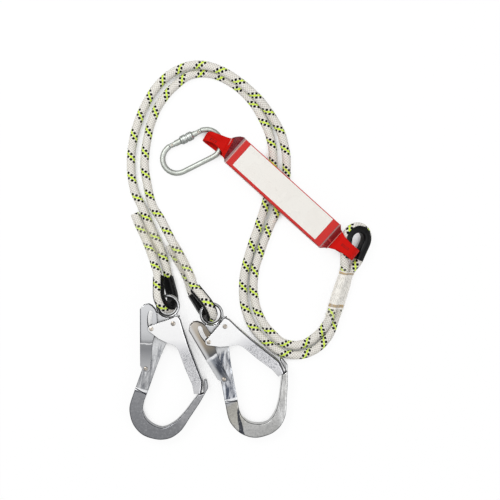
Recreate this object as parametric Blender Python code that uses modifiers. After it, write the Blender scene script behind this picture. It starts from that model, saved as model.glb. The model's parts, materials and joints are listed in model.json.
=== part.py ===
"""A twin shock-absorbing lanyard, laid flat: two rope legs, each ending in a scaffold hook, a webbing energy
absorber that both legs share, and an oval screw-gate carabiner. Lengths below are in millimetres; MM turns them
into metres. The whole lies on z = 0."""

import math

import bmesh
import bpy
from mathutils import Matrix, Vector

MM = 0.001
GAP = 0.3  # between pieces that touch

# Rope and thimbles
ROPE_DIAMETER = 12.0
THIMBLE_CROWN = 18.0  # rope centre line round the crown
THIMBLE_LENGTH = 47.0  # crown to mouth, on the rope's centre line
THIMBLE_MOUTH = 24.0  # between the rope's centre lines at the mouth
THIMBLE_WALL = 1.8
THIMBLE_FLANGE = 1.0
THIMBLE_LIP = 2.0  # how far the flanges reach past the rope's centre line
COVER_WALL = 0.6
PAPER = 0.3
THREAD_DIAMETER = 1.2

# Hooks. Their own frame has its origin on the gate pivot, +Y towards the rope eye and +X towards the nose.
EYE_CENTRE = (-7.6, 23.2)
EYE_HOLE_RADIUS = 12.0
EYE_RING = 4.8  # width of the ring, seen face on
EYE_DEPTH_RATIO = 1.5  # its thickness over its width
HOOK_THICKNESS = 15.0
HOOK_ROUNDING = 1.8
SPINE_THICKNESS = 11.2  # where the lever and the gate's tail lie against it
HOOK_BOTTOM = -163.2
SHEET = 1.8  # the steel of gate and lever
TAIL_RIVET = (-30.2, -7.4)
LEVER_RIVET = (-38.4, -63.1)
PIVOT_SHANK = 2.2
TAIL_SHANK = 2.0
LEVER_SHANK = 1.8
RIVET_HEAD = 0.9  # how much wider a head is than its shank
HEAD_HEIGHT = 0.8
PIVOT_BOSS = 8.0
GATE_OPENING = 42.0  # degrees
LEVER_RATIO = 0.05  # lever turn for each degree of the gate's
SLOT_OUTER = 3.9  # the slot's reach to each side of the rivet's path
SLOT_INNER = 2.5
SPRING_WIRE = 1.2

# Carabiner. Its own frame has its origin in the middle, +X along it to the absorber and +Y to the gate.
BAR_DIAMETER = 7.6
CARABINER_STRAIGHT = 46.7
CARABINER_BEND = 20.0  # bar centre line
GATE_DIAMETER = 8.4
GATE_LAP = 0.85  # how far each end of the gate reaches past the straight
GATE_HALF = CARABINER_STRAIGHT / 2 + GATE_LAP
PIN_INSET = 3.6  # the pins, from the gate's ends
GATE_PIN_AT = GATE_HALF - PIN_INSET
GATE_BORE = 5.0
BORE_REACH = 32.2  # the bore's blind end, from the gate's hinge end
TONGUE = 4.0
TONGUE_REACH = 3.2  # past the pin
PIN_DIAMETER = 2.8
SLEEVE_DIAMETER = 12.6
SLEEVE_LENGTH = 19.4
SLEEVE_AT = 2.0

# Absorber. Its own frame has +X from the front loop to the rear loop and +Z up.
PACK_LENGTH = 176.0
WEB_WIDTH = 42.0
WEB_THICKNESS = 2.0
WEB_PITCH = 2.4
WEB_LAYERS = 10
FILM = 0.5
FRONT_FILM = 7.2  # how far the film reaches past the pack
REAR_FILM = 9.0
FRONT_MOUTH = 23.0  # the height of its mouths
REAR_MOUTH = 21.5
LABEL_LENGTH = 153.0
LABEL_WIDTH = 37.7
LABEL_SHIFT = 1.15  # off the webbing's middle
LOOP_STRAP = 2.2
LOOP_WIDTH = 27.0
LOOP_FOLD_WIDTH = 17.4
REAR_LOOP_HALF = 11.0  # half the height inside, where it goes round the thimble's limb
FRONT_LOOP_HALF = 5.7  # the same, round the carabiner's bar
# Clearance from the pack's end and how far to its left, fold, height of the fold's middle, where the straps are
# fully apart, and how far the fold itself reaches to its right
FRONT_LOOP = ((3.2, -3.4), (-65.0, 205.0), 8.4, 13.0, 4.9)
REAR_LOOP = ((1.55, 1.15), (143.9, 37.7), 22.3, 17.0, 8.7)

PARTS = "twin_lanyard"
# From the floor plan's middle, about which the routes are written, to the middle of the part's bottom
HOME = Matrix.Translation(Vector((1.38, 0.19, -0.18)) * MM)


def clear_scene():
    for thing in list(bpy.data.objects):
        bpy.data.objects.remove(thing, do_unlink=True)
    for name in (PARTS, "cutters"):
        bpy.context.scene.collection.children.link(bpy.data.collections.new(name))
    bpy.data.collections["cutters"].hide_render = True


def finish(name, colour, roughness, metallic=0.0, alpha=1.0):
    material = bpy.data.materials.new(name)
    material.use_nodes = True
    shader = material.node_tree.nodes["Principled BSDF"]
    shader.inputs["Base Color"].default_value = (*colour, 1.0)
    shader.inputs["Roughness"].default_value = roughness
    shader.inputs["Metallic"].default_value = metallic
    shader.inputs["Alpha"].default_value = alpha
    return material


def add(thing, frame, parent, material, collection=PARTS):
    """Puts an object where its frame says, under its parent."""
    frame = HOME @ frame
    bpy.data.collections[collection].objects.link(thing)
    if parent:
        thing.parent = parent
        thing.matrix_parent_inverse = Matrix.Identity(4)
        thing.matrix_local = parent.matrix_world.inverted() @ frame
    else:
        thing.matrix_world = frame
    if collection == PARTS:
        thing.data.materials.clear()
        coloured = material.copy()
        coloured.name = thing.name
        thing.data.materials.append(coloured)
        if thing.type == "MESH":
            thing.data.shade_smooth()
            thing.data.set_sharp_from_angle(angle=math.radians(35))
    else:
        thing.hide_render = True
        thing.display_type = "WIRE"
    bpy.context.view_layer.update()
    return thing


def empty(name, frame, parent=None):
    thing = bpy.data.objects.new(name, None)
    bpy.data.collections[PARTS].objects.link(thing)
    thing.parent = parent
    frame = HOME @ frame
    base = parent.matrix_world.inverted() @ frame if parent else frame
    thing.matrix_local = base
    bpy.context.view_layer.update()
    return thing


def smooth(points, step):
    """Points along a smooth curve through the given ones, which it keeps."""
    points = [Vector(point) for point in points]
    lengths = [(b - a).length for a, b in zip(points, points[1:])]
    slopes = [(points[1] - points[0]) / lengths[0]]
    for before, after, a, b, c in zip(lengths, lengths[1:], points, points[1:], points[2:]):
        slopes.append(((b - a) / before * after + (c - b) / after * before) / (before + after))
    slopes.append((points[-1] - points[-2]) / lengths[-1])
    out = [points[0]]
    for a, b, start, end, length in zip(points, points[1:], slopes, slopes[1:], lengths):
        steps = max(1, round(length / step))
        for i in range(1, steps + 1):
            t = i / steps
            out.append(
                a * (2 * t**3 - 3 * t**2 + 1)
                + start * length * (t**3 - 2 * t**2 + t)
                + b * (3 * t**2 - 2 * t**3)
                + end * length * (t**3 - t**2)
            )
    return out


def arc(centre, radius, start, end, steps):
    """Points on an arc, from one angle to another in degrees."""
    angles = [math.radians(start + (end - start) * i / steps) for i in range(steps + 1)]
    return [(centre[0] + radius * math.cos(a), centre[1] + radius * math.sin(a)) for a in angles]


def curve(name, points, cyclic=False, flat=False):
    data = bpy.data.curves.new(name, "CURVE")
    data.dimensions = "2D" if flat else "3D"
    spline = data.splines.new("POLY")
    spline.points.add(len(points) - 1)
    for point, place in zip(spline.points, points):
        point.co = (*(Vector(place).to_3d() * MM), 1.0)
    spline.use_cyclic_u = cyclic
    return bpy.data.objects.new(name, data)


def meshed(thing):
    """The curve object made a closed mesh object, with the same name."""
    name = thing.name
    bpy.context.scene.collection.objects.link(thing)
    bpy.context.view_layer.update()
    graph = bpy.context.evaluated_depsgraph_get()
    mesh = bpy.data.meshes.new_from_object(thing.evaluated_get(graph))
    bpy.data.objects.remove(thing, do_unlink=True)
    shape = bmesh.new()
    shape.from_mesh(mesh)
    bmesh.ops.remove_doubles(shape, verts=shape.verts, dist=1e-6)
    bmesh.ops.recalc_face_normals(shape, faces=shape.faces)
    shape.to_mesh(mesh)
    shape.free()
    return bpy.data.objects.new(name, mesh)


def tube(name, points, diameter, sides=8):
    thing = curve(name, points)
    thing.data.bevel_depth = diameter / 2 * MM
    thing.data.bevel_resolution = (sides - 4) // 2
    thing.data.use_fill_caps = True
    return thing


def plate(name, outline, low, high):
    """A flat outline given a thickness, from one height to another."""
    thing = curve(name, outline, cyclic=True, flat=True)
    thing.data.fill_mode = "BOTH"
    thing.data.extrude = (high - low) / 2 * MM
    solid = meshed(thing)
    solid.data.transform(Matrix.Translation((0, 0, (high + low) / 2 * MM)))
    return solid


def rod(name, radius, start, end, sides=24):
    """A round bar between two points."""
    start, end = Vector(start) * MM, Vector(end) * MM
    shape = bmesh.new()
    bmesh.ops.create_cone(
        shape,
        cap_ends=True,
        segments=sides,
        radius1=radius * MM,
        radius2=radius * MM,
        depth=(end - start).length,
    )
    turn = (end - start).to_track_quat("Z", "Y").to_matrix().to_4x4()
    shape.transform(Matrix.Translation((start + end) / 2) @ turn)
    mesh = bpy.data.meshes.new(name)
    shape.to_mesh(mesh)
    shape.free()
    return bpy.data.objects.new(name, mesh)


def block(name, low, high):
    low, high = Vector(low) * MM, Vector(high) * MM
    shape = bmesh.new()
    bmesh.ops.create_cube(shape, size=1.0)
    shape.transform(Matrix.Translation((low + high) / 2) @ Matrix.Diagonal((high - low).to_4d()))
    mesh = bpy.data.meshes.new(name)
    shape.to_mesh(mesh)
    shape.free()
    return bpy.data.objects.new(name, mesh)


def turned(name, profile, sides=20):
    """A turned piece from its half profile, top to bottom, about Z."""
    mesh = bpy.data.meshes.new(name)
    edges = [(i, i + 1) for i in range(len(profile) - 1)]
    mesh.from_pydata([(x * MM, 0, z * MM) for x, z in profile], edges, [])
    thing = bpy.data.objects.new(name, mesh)
    screw = thing.modifiers.new("turn", "SCREW")
    screw.steps = screw.render_steps = sides
    screw.use_merge_vertices = True
    screw.merge_threshold = 1e-5
    return thing


def combine(thing, other, operation, frame, parent=None):
    """Cuts another shape from this one, or joins it on."""
    add(other, frame, parent, None, "cutters")
    modifier = thing.modifiers.new(other.name, "BOOLEAN")
    modifier.operation = operation
    modifier.object = other
    return thing


def loft(name, rings, wall, even=True):
    """A thin wall over rings of points, open at both ends. It grows outwards from the rings."""
    mesh = bpy.data.meshes.new(name)
    count = len(rings[0])
    points = [tuple(Vector(point) * MM) for ring in rings for point in ring]
    faces = []
    for row in range(len(rings) - 1):
        for i in range(count):
            after = (i + 1) % count
            faces.append(
                (row * count + i, row * count + after, (row + 1) * count + after, (row + 1) * count + i)
            )
    mesh.from_pydata(points, [], faces)
    shape = bmesh.new()
    shape.from_mesh(mesh)
    bmesh.ops.recalc_face_normals(shape, faces=shape.faces)
    middle = sum((Vector(point) for point in rings[0]), Vector()) / count * MM
    shape.faces.ensure_lookup_table()
    first = shape.faces[0]
    if first.normal.dot(first.calc_center_median() - middle) < 0:
        bmesh.ops.reverse_faces(shape, faces=shape.faces)
    shape.to_mesh(mesh)
    shape.free()
    thing = bpy.data.objects.new(name, mesh)
    solid = thing.modifiers.new("wall", "SOLIDIFY")
    solid.thickness = wall * MM
    solid.offset = 1.0
    solid.use_even_offset = even
    return thing


def zigzag(name, stations, diameter):
    """A row of thread that steps from side to side. Each station is a pair of points."""
    points = [pair[i % 2] for i, pair in enumerate(stations)]
    return tube(name, points, diameter, 6)


# Places on the floor


def standing(centre, turn, eye_height, end_height, reach):
    """The frame of a hook: turned on the floor, its eye raised and its far end resting."""
    slope = math.asin((eye_height - end_height) / reach)
    height = end_height - HOOK_BOTTOM * math.sin(slope)
    place = Matrix.Translation(Vector((*centre, height)) * MM)
    return place @ Matrix.Rotation(math.radians(turn), 4, "Z") @ Matrix.Rotation(slope, 4, "X")


def point_in(frame, place):
    """A point of a frame in world millimetres."""
    return (frame @ (Vector(place) * MM)) / MM


def thimble_frame(crown, heading, rise, roll, raised_side):
    """The thimble's frame: origin on the rope's centre line at the crown, +Y out through the crown and +X to the
    raised limb. heading is +Y's direction on the floor, rise and roll are in degrees."""
    flat = Vector((*heading, 0)).normalized()
    forward = flat * math.cos(math.radians(rise)) + Vector((0, 0, math.sin(math.radians(rise))))
    side = Vector((0, 0, 1)).cross(flat) * raised_side
    upward = side.cross(forward)
    if upward.z < 0:
        upward = -upward
    limb = side * math.cos(math.radians(roll)) + upward * math.sin(math.radians(roll))
    normal = limb.cross(forward)
    rotation = Matrix((limb, forward, normal)).transposed().to_4x4()
    return Matrix.Translation(Vector(crown) * MM) @ rotation


def thimble_line():
    """The rope's centre line round a thimble, from mouth to mouth, ending on the raised (+X) side."""
    rise, half = THIMBLE_LENGTH - THIMBLE_CROWN, THIMBLE_MOUTH / 2
    far = math.hypot(rise, half)
    turn = 180 - math.degrees(math.acos(THIMBLE_CROWN / far) + math.atan2(half, rise))
    crown = arc((0, -THIMBLE_CROWN), THIMBLE_CROWN, 90 + turn, 90 - turn, 14)
    limb = 3
    start = [
        Vector((-half, -THIMBLE_LENGTH)).lerp(Vector(crown[0]), i / limb) for i in range(limb)
    ]
    end = [Vector(crown[-1]).lerp(Vector((half, -THIMBLE_LENGTH)), i / limb) for i in range(1, limb + 1)]
    return [Vector((*point, 0)) for point in (*start, *crown, *end)]


def limb_point(frame, along, side):
    """A point on a straight limb, this far back from the crown."""
    line = thimble_line()
    top, mouth = (line[-4], line[-1]) if side > 0 else (line[3], line[0])
    share = (along + top.y) / (THIMBLE_LENGTH + top.y)
    return point_in(frame, top.lerp(mouth, share))


def thimble(name, frame, parent, material):
    """A plastic channel bent round the rope's eye."""
    groove = ROPE_DIAMETER / 2 + GAP
    inner = groove + THIMBLE_WALL
    half = groove + THIMBLE_FLANGE
    round_in = [(x, y) for x, y in arc((0, 0), groove, 90, -90, 6)]
    corner = 2.6
    profile = [
        (-THIMBLE_LIP, half),
        (-THIMBLE_LIP, groove),
        *round_in,
        (-THIMBLE_LIP, -groove),
        (-THIMBLE_LIP, -half),
        (inner - corner, -half),
        (inner, corner - half),
        (inner, half - corner),
        (inner - corner, half),
    ]
    line = thimble_line()
    trim = 0.15
    line[0] = line[0].lerp(line[1], trim)
    line[-1] = line[-1].lerp(line[-2], trim)
    path = curve(name, line, flat=True)
    section = curve(name + "_section", profile, cyclic=True, flat=True)
    bpy.context.scene.collection.objects.link(section)
    path.data.bevel_mode = "OBJECT"
    path.data.bevel_object = section
    path.data.use_fill_caps = True
    solid = meshed(path)
    bpy.data.objects.remove(section, do_unlink=True)
    return add(solid, frame, parent, material)


def stadium(first, second, ahead, radius, side_steps=6):
    """A ring of points round two ropes that lie side by side."""
    across = (second - first).normalized()
    upward = ahead.cross(across).normalized()
    ring = []
    for centre, start in ((second, -90), (first, 90)):
        for i in range(side_steps + 1):
            angle = math.radians(start + 180 * i / side_steps)
            ring.append(centre + across * math.cos(angle) * radius + upward * math.sin(angle) * radius)
    return ring


def paired(first_line, second_line, radius):
    """Rings round two ropes, one at each pair of points."""
    rings = []
    for i, (a, b) in enumerate(zip(first_line, second_line)):
        before, after = max(i - 1, 0), min(i + 1, len(first_line) - 1)
        ahead = (first_line[after] + second_line[after] - first_line[before] - second_line[before]).normalized()
        rings.append(stadium(a, b, ahead, radius))
    return rings


def splice_thread(name, first_line, second_line, rise):
    """A row of stitches in the valley between two ropes."""
    stations = []
    for a, b, c in zip(first_line, second_line, first_line[1:]):
        across = (b - a).normalized()
        upward = (c - a).normalized().cross(across).normalized()
        if upward.z < 0:
            upward = -upward
        middle = (a + b) / 2 + upward * rise
        stations.append((middle - across, middle + across))
    return zigzag(name, stations, THREAD_DIAMETER)


# The hooks


def hook_outline():
    inner = smooth(
        [(-9, -26.7), (-16, -42), (-25.8, -67.3), (-34.2, -91.1), (-41.2, -109.3), (-43.3, -121)], 14
    )
    throat = smooth([(-43.3, -121), (-39.6, -132), (-31, -140.8), (-16, -146.4), (-1, -140), (14.8, -124.7)], 7)
    nose = [(27.4, -107.9), (34.2, -99.6), (41.2, -98.4), (41.6, -81), (43.4, -78.8), (46, -79.4), (47.8, -91)]
    outer = smooth(
        [
            (35.8, -112.1),
            (21.8, -133.1),
            (8.4, -152.2),
            (-3.4, -160.4),
            (-16, HOOK_BOTTOM),
            (-27.5, -162.2),
            (-40.5, -158),
            (-50.4, -150.3),
            (-58, -138.5),
            (-61.5, -123.3),
            (-60.4, -112),
            (-55.2, -96.7),
            (-44.2, -66),
        ],
        11,
    )
    back = [(-43.1, -58), (-41, -45), (-36, -30), (-32.5, -24), (-32.5, -15), (-26.5, -10.5)]
    path = [turned_about(TAIL_RIVET, (0, 0), -share * GATE_OPENING) * 0.91 for share in (0.15, 0.4, 0.65, 0.9)]
    seat = [(-23.4, 14.4), *arc(EYE_CENTRE, EYE_HOLE_RADIUS + EYE_RING * 0.7, 213, 319, 10)]
    cheek = [(6.4, 11.6), (8.2, 5)]
    heel = [*arc((0, 0), 8.9, 8, -60, 4), (-3, -17.5)]
    return [*inner, *throat[1:], *nose, *outer, *back, *path, *seat, *cheek, *heel]


def hook_body(name, frame, parent, material):
    half, spine = HOOK_THICKNESS / 2, SPINE_THICKNESS / 2
    body = plate(name, hook_outline(), -half, half)
    rounding = body.modifiers.new("rounding", "BEVEL")
    rounding.width = HOOK_ROUNDING * MM
    rounding.segments = 2
    rounding.limit_method = "ANGLE"
    rounding.angle_limit = math.radians(85)
    pocket = [(-80, -74.3), (-15, -113.3), (-15, -40), (30, -30), (30, 60), (-80, 60)]
    for side, (low, high) in {"front": (spine, half + 3), "back": (-half - 3, -spine)}.items():
        combine(body, plate(f"{name}_{side}_pocket", pocket, low, high), "DIFFERENCE", frame)
    combine(body, eye_ring(name + "_ring"), "UNION", frame)
    boss = spine + SHEET + GAP
    combine(body, rod(name + "_boss", PIVOT_BOSS, (0, 0, -boss), (0, 0, boss)), "UNION", frame)
    for place, shank in (((0, 0), PIVOT_SHANK), (LEVER_RIVET, LEVER_SHANK)):
        hole = rod(f"{name}_hole_{shank}", shank + GAP, (*place, -half - 3), (*place, half + 3), 16)
        combine(body, hole, "DIFFERENCE", frame)
    return add(body, frame, parent, material)


def eye_ring(name):
    """The rounded ring that the rope's thimble sits in."""
    shape = bmesh.new()
    major, minor = EYE_HOLE_RADIUS + EYE_RING / 2, EYE_RING / 2
    around, across = 32, 8
    rings = []
    for i in range(around):
        turn = Matrix.Rotation(2 * math.pi * i / around, 4, "Z")
        ring = []
        for j in range(across):
            angle = 2 * math.pi * j / across
            place = Vector((major + minor * math.cos(angle), 0, EYE_DEPTH_RATIO * minor * math.sin(angle)))
            ring.append(shape.verts.new(turn @ place * MM))
        rings.append(ring)
    for ring, after in zip(rings, rings[1:] + rings[:1]):
        for j in range(across):
            k = (j + 1) % across
            shape.faces.new((ring[j], after[j], after[k], ring[k]))
    bmesh.ops.recalc_face_normals(shape, faces=shape.faces)
    shape.transform(Matrix.Translation(Vector((*EYE_CENTRE, 0)) * MM))
    mesh = bpy.data.meshes.new(name)
    shape.to_mesh(mesh)
    shape.free()
    return bpy.data.objects.new(name, mesh)


def turned_about(point, centre, degrees):
    turn = Matrix.Rotation(math.radians(degrees), 2)
    return turn @ (Vector(point) - Vector(centre)) + Vector(centre)


def slot_outline():
    """The tail rivet's path, seen from the lever, widened to a slot."""
    count = 8
    path = []
    for i in range(count + 1):
        opened = GATE_OPENING * i / count
        place = turned_about(TAIL_RIVET, (0, 0), -opened)
        path.append(turned_about(place, LEVER_RIVET, opened * LEVER_RATIO))
    inner, outer = [], []
    for before, place, after in zip(path[:1] + path, path, path[1:] + path[-1:]):
        ahead = (after - before).normalized()
        left = Vector((-ahead.y, ahead.x))
        inner.append(place - left * SLOT_INNER)
        outer.append(place + left * SLOT_OUTER)
    ends = []
    for place, beyond, sign in ((path[-1], path[-2], 1), (path[0], path[1], -1)):
        ahead = (place - beyond).normalized()
        left = Vector((-ahead.y, ahead.x)) * sign
        reach = (SLOT_INNER + SLOT_OUTER) / 2
        middle = place + left * (SLOT_OUTER - SLOT_INNER) / 2 + ahead * reach * 0.87
        ends.append([middle - left * reach * 0.5, middle + left * reach * 0.5])
    return [*inner, *ends[0], *reversed(outer), *reversed(ends[1])]


def gate(name, frame, parent, material):
    """A sheet channel: its web is on the outer edge, and its two plates straddle the spine."""
    tail = arc(TAIL_RIVET, 4.6, 130, 235, 5)
    outline = [
        (-20.2, 0.6),
        *tail,
        (-20.2, -21.1),
        (-9, -26.7),
        *smooth([(2.2, -30.9), (5, -33.7), (7.8, -39.3)], 4),
        (16.2, -63.1),
        (26, -85.5),
        (28.3, -97.9),
        (38.3, -97.9),
        (39.5, -90),
        (40, -79.9),
        (35.8, -68.7),
        (22.6, -34),
        (16, -13.5),
        (10.6, 5.5),
        (7.9, 9.3),
        (3.6, 9.7),
        (-6.2, 5.5),
    ]
    inside = SPINE_THICKNESS / 2 + SHEET + 2 * GAP
    outside = inside + SHEET
    solid = plate(name, outline, -outside, outside)
    hollow = [
        (-45, 30),
        (6.2, 30),
        (8.9, 4.8),
        (14.2, -14),
        (20.8, -34.5),
        (34.1, -69.3),
        (38.1, -80.2),
        (37.6, -90),
        (36.4, -110),
        (-45, -110),
    ]
    combine(solid, plate(name + "_hollow", hollow, -inside, inside), "DIFFERENCE", frame)
    for label, place, shank in (("pivot", (0, 0), PIVOT_SHANK), ("tail", TAIL_RIVET, TAIL_SHANK)):
        hole = rod(f"{name}_{label}_hole", shank + GAP, (*place, -outside - 2), (*place, outside + 2), 16)
        combine(solid, hole, "DIFFERENCE", frame)
    return add(solid, frame, parent, material)


def lever(name, frame, parent, material):
    """A sheet channel on the spine's back, its plates slotted for the gate's tail rivet."""
    outline = [
        (-46.1, 19.5),
        (-46.1, -58.9),
        (-42.8, -64.5),
        (-38.4, -67.6),
        (-34.2, -67.3),
        (-32, -64.5),
        (-29.5, -29),
        (-26.8, -18.6),
        (-22.3, -6),
        (-22.9, 13.5),
        (-25.4, 19.5),
        (-29.4, 24),
        (-34.2, 26.5),
        (-41, 25),
    ]
    inside = SPINE_THICKNESS / 2 + GAP
    outside = inside + SHEET
    solid = plate(name, outline, -outside, outside)
    hollow = [(-46.1 + SHEET, 40), (-46.1 + SHEET, -56), (-55, -56), (-55, -80), (0, -80), (0, 40)]
    combine(solid, plate(name + "_hollow", hollow, -inside, inside), "DIFFERENCE", frame)
    combine(solid, plate(name + "_slot", slot_outline(), -outside - 2, outside + 2), "DIFFERENCE", frame)
    joggle = 0.6
    for side in (1, -1):
        low, high = sorted((side * (outside - joggle), side * (outside + 2)))
        step = block(f"{name}_step_{low:.1f}", (-60, -90, low), (-10, -27.3, high))
        combine(solid, step, "DIFFERENCE", frame)
    hole = rod(name + "_hole", LEVER_SHANK + GAP, (*LEVER_RIVET, -outside - 2), (*LEVER_RIVET, outside + 2), 16)
    combine(solid, hole, "DIFFERENCE", frame)
    return add(solid, frame, parent, material)


def rivet(name, place, shank, grip, frame, parent, material):
    """A turned rivet with a low head outside each plate."""
    under, head = grip + GAP, shank + RIVET_HEAD
    top = under + HEAD_HEIGHT
    half = [(0, top), (head * 0.6, top), (head, top - HEAD_HEIGHT / 2), (head, under), (shank, under)]
    profile = half + [(x, -z) for x, z in reversed(half)]
    solid = turned(name, profile, 16)
    return add(solid, frame @ Matrix.Translation(Vector((*place, 0)) * MM), parent, material)


def hook_gate_spring(name, frame, parent, material):
    """A bent wire round the pivot's boss, one leg against the gate's web."""
    height = SPINE_THICKNESS / 2 + GAP + SPRING_WIRE / 2 + 0.1
    radius = PIVOT_BOSS + GAP + SPRING_WIRE / 2
    coil = [(x, y, height) for x, y in arc((0, 0), radius, 150, -15, 12)]
    legs = [(-14, -8, height), (-11.5, -2, height)], [(11.2, -10, height), (15.2, -22, height)]
    return add(tube(name, [*legs[0], *coil, *legs[1]], SPRING_WIRE, 6), frame, parent, material)


def lever_spring(name, frame, parent, material):
    """A coil that pushes the lever's web away from the spine."""
    start, end, radius, turns = -44.3 + GAP + SPRING_WIRE / 2, -32.5 - GAP - SPRING_WIRE / 2, 3.0, 4
    count = 10 * turns
    points = []
    for i in range(count + 1):
        share = i / count
        angle = 2 * math.pi * turns * share
        points.append((start + (end - start) * share, -19.5 + radius * math.cos(angle), radius * math.sin(angle)))
    return add(tube(name, points, SPRING_WIRE, 6), frame, parent, material)


def hook(side, frame, crown, metal):
    """The eight pieces of one hook, carried by the thimble's crown."""
    root = empty(side + "_hook_joint", crown)
    pivot = empty(side + "_gate_joint", frame, root)
    lever_place = frame @ Matrix.Translation(Vector((*LEVER_RIVET, 0)) * MM)
    squeeze = empty(side + "_lever_joint", lever_place, root)
    spine = SPINE_THICKNESS / 2
    gate_grip = spine + 2 * SHEET + 2 * GAP
    hook_body(side + "_hook_body", frame, root, metal["alloy"])
    gate(side + "_gate", frame, pivot, metal["zinc"])
    lever(side + "_lock_lever", frame, squeeze, metal["zinc"])
    rivet(side + "_gate_pivot_rivet", (0, 0), PIVOT_SHANK, gate_grip, frame, root, metal["rivet"])
    rivet(side + "_gate_tail_rivet", TAIL_RIVET, TAIL_SHANK, gate_grip, frame, pivot, metal["rivet"])
    rivet(side + "_lever_rivet", LEVER_RIVET, LEVER_SHANK, spine + SHEET + GAP, frame, root, metal["rivet"])
    hook_gate_spring(side + "_gate_spring", frame, root, metal["spring"])
    lever_spring(side + "_lever_spring", frame, root, metal["spring"])


# The carabiner


def carabiner_bar():
    half, bend = CARABINER_STRAIGHT / 2, CARABINER_BEND
    right = arc((half, 0), bend, 90, -90, 12)
    left = arc((-half, 0), bend, -90, -270, 12)
    end, square = GATE_HALF + GAP, GATE_HALF + GAP + 1.5
    return [(end, bend), (square, bend), *right[1:], *left[:-1], (-square, bend), (-end, bend)]


def carabiner(frame, parent, steel, spring):
    bend, tongue = CARABINER_BEND, TONGUE / 2
    bar = [(x, y, 0) for x, y in carabiner_bar()]
    body = meshed(tube("carabiner_body", bar, BAR_DIAMETER, 12))
    reach = GATE_HALF + 3
    for side, label in ((-1, "hinge"), (1, "nose")):
        tip = side * (GATE_PIN_AT - TONGUE_REACH)
        low, high = sorted((side * reach, tip))
        blade = block(f"carabiner_{label}_tongue", (low, bend - 2.6, -tongue), (high, bend + 2.6, tongue))
        combine(body, blade, "UNION", frame)
    hinge_hole = rod(
        "carabiner_hinge_hole",
        PIN_DIAMETER / 2 + GAP,
        (-GATE_PIN_AT, bend, -6),
        (-GATE_PIN_AT, bend, 6),
        16,
    )
    combine(body, hinge_hole, "DIFFERENCE", frame)
    notch = PIN_DIAMETER / 2 + GAP
    combine(
        body,
        block("carabiner_nose_notch", (GATE_PIN_AT - notch, bend - 6, -6), (GATE_PIN_AT + notch, bend + notch, 6)),
        "DIFFERENCE",
        frame,
    )
    add(body, frame, parent, steel)

    hinge = empty("carabiner_gate_joint", frame @ Matrix.Translation(Vector((-GATE_PIN_AT, bend, 0)) * MM), parent)
    bar_gate = rod("carabiner_gate", GATE_DIAMETER / 2, (-GATE_HALF, bend, 0), (GATE_HALF, bend, 0))
    slot = tongue + GAP
    for side, label in ((-1, "hinge"), (1, "nose")):
        low, high = sorted((side * (GATE_HALF + 2), side * (GATE_PIN_AT - 4.6)))
        fork = block(f"carabiner_gate_{label}_fork", (low, bend - 8, -slot), (high, bend + 8, slot))
        combine(bar_gate, fork, "DIFFERENCE", frame)
        hole = rod(
            f"carabiner_gate_{label}_hole",
            PIN_DIAMETER / 2 + GAP,
            (side * GATE_PIN_AT, bend, -8),
            (side * GATE_PIN_AT, bend, 8),
            16,
        )
        combine(bar_gate, hole, "DIFFERENCE", frame)
    x, y = -GATE_PIN_AT, bend
    heel = [(x - 6, y - 1.2), (x - 3.6, y - 1.2), (x - 1.8, y - 4.3), (x - 1.8, y - 7), (x - 6, y - 7)]
    combine(bar_gate, plate("carabiner_gate_heel", heel, -7, 7), "DIFFERENCE", frame)
    bore_end = BORE_REACH - GATE_HALF
    bore = rod("carabiner_gate_bore", GATE_BORE / 2, (-GATE_PIN_AT, bend, 0), (bore_end, bend, 0), 16)
    combine(bar_gate, bore, "DIFFERENCE", frame)
    add(bar_gate, frame, hinge, steel)
    pin_half = GATE_DIAMETER / 2 - 0.6
    for side, label in ((-1, "hinge"), (1, "latch")):
        pin = rod(
            f"carabiner_{label}_pin",
            PIN_DIAMETER / 2,
            (side * GATE_PIN_AT, bend, -pin_half),
            (side * GATE_PIN_AT, bend, pin_half),
            16,
        )
        add(pin, frame, parent if side < 0 else hinge, steel)

    plunger_face = -GATE_PIN_AT + TONGUE_REACH + GAP
    plunger_end = plunger_face + 4
    slide = empty(
        "carabiner_plunger_joint", frame @ Matrix.Translation(Vector((plunger_face, bend, 0)) * MM), hinge
    )
    plunger = rod(
        "carabiner_spring_plunger", GATE_BORE / 2 - GAP, (plunger_face, bend, 0), (plunger_end, bend, 0), 12
    )
    add(plunger, frame, slide, steel)
    wire, turns = 0.7, 7
    start, end = plunger_end + GAP + wire / 2, bore_end - GAP - wire / 2
    radius = GATE_BORE / 2 - GAP - wire / 2
    points = []
    for i in range(8 * turns + 1):
        angle = 2 * math.pi * i / 8
        share = i / (8 * turns)
        points.append(
            (start + (end - start) * share, bend + radius * math.cos(angle), radius * math.sin(angle))
        )
    add(tube("carabiner_gate_spring", points, wire, 6), frame, hinge, spring)
    screw_sleeve(frame, hinge, steel)


def screw_sleeve(frame, parent, steel):
    """The turned locking sleeve, with a plain groove round its middle."""
    half, outer, bore = SLEEVE_LENGTH / 2, SLEEVE_DIAMETER / 2, GATE_DIAMETER / 2 + GAP
    side = [(bore, half), (outer - 1.2, half), (outer, half - 1.2), (outer, 1.6), (outer - 0.8, 1.1)]
    profile = side + [(x, -z) for x, z in reversed(side)]
    profile.append(profile[0])
    sleeve = turned("carabiner_screw_sleeve", profile, 24)
    along = Matrix.Rotation(math.radians(90), 4, "Y")
    place = Matrix.Translation(Vector((SLEEVE_AT, CARABINER_BEND, 0)) * MM)
    add(sleeve, frame @ place @ along, parent, steel)


# The absorber


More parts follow.
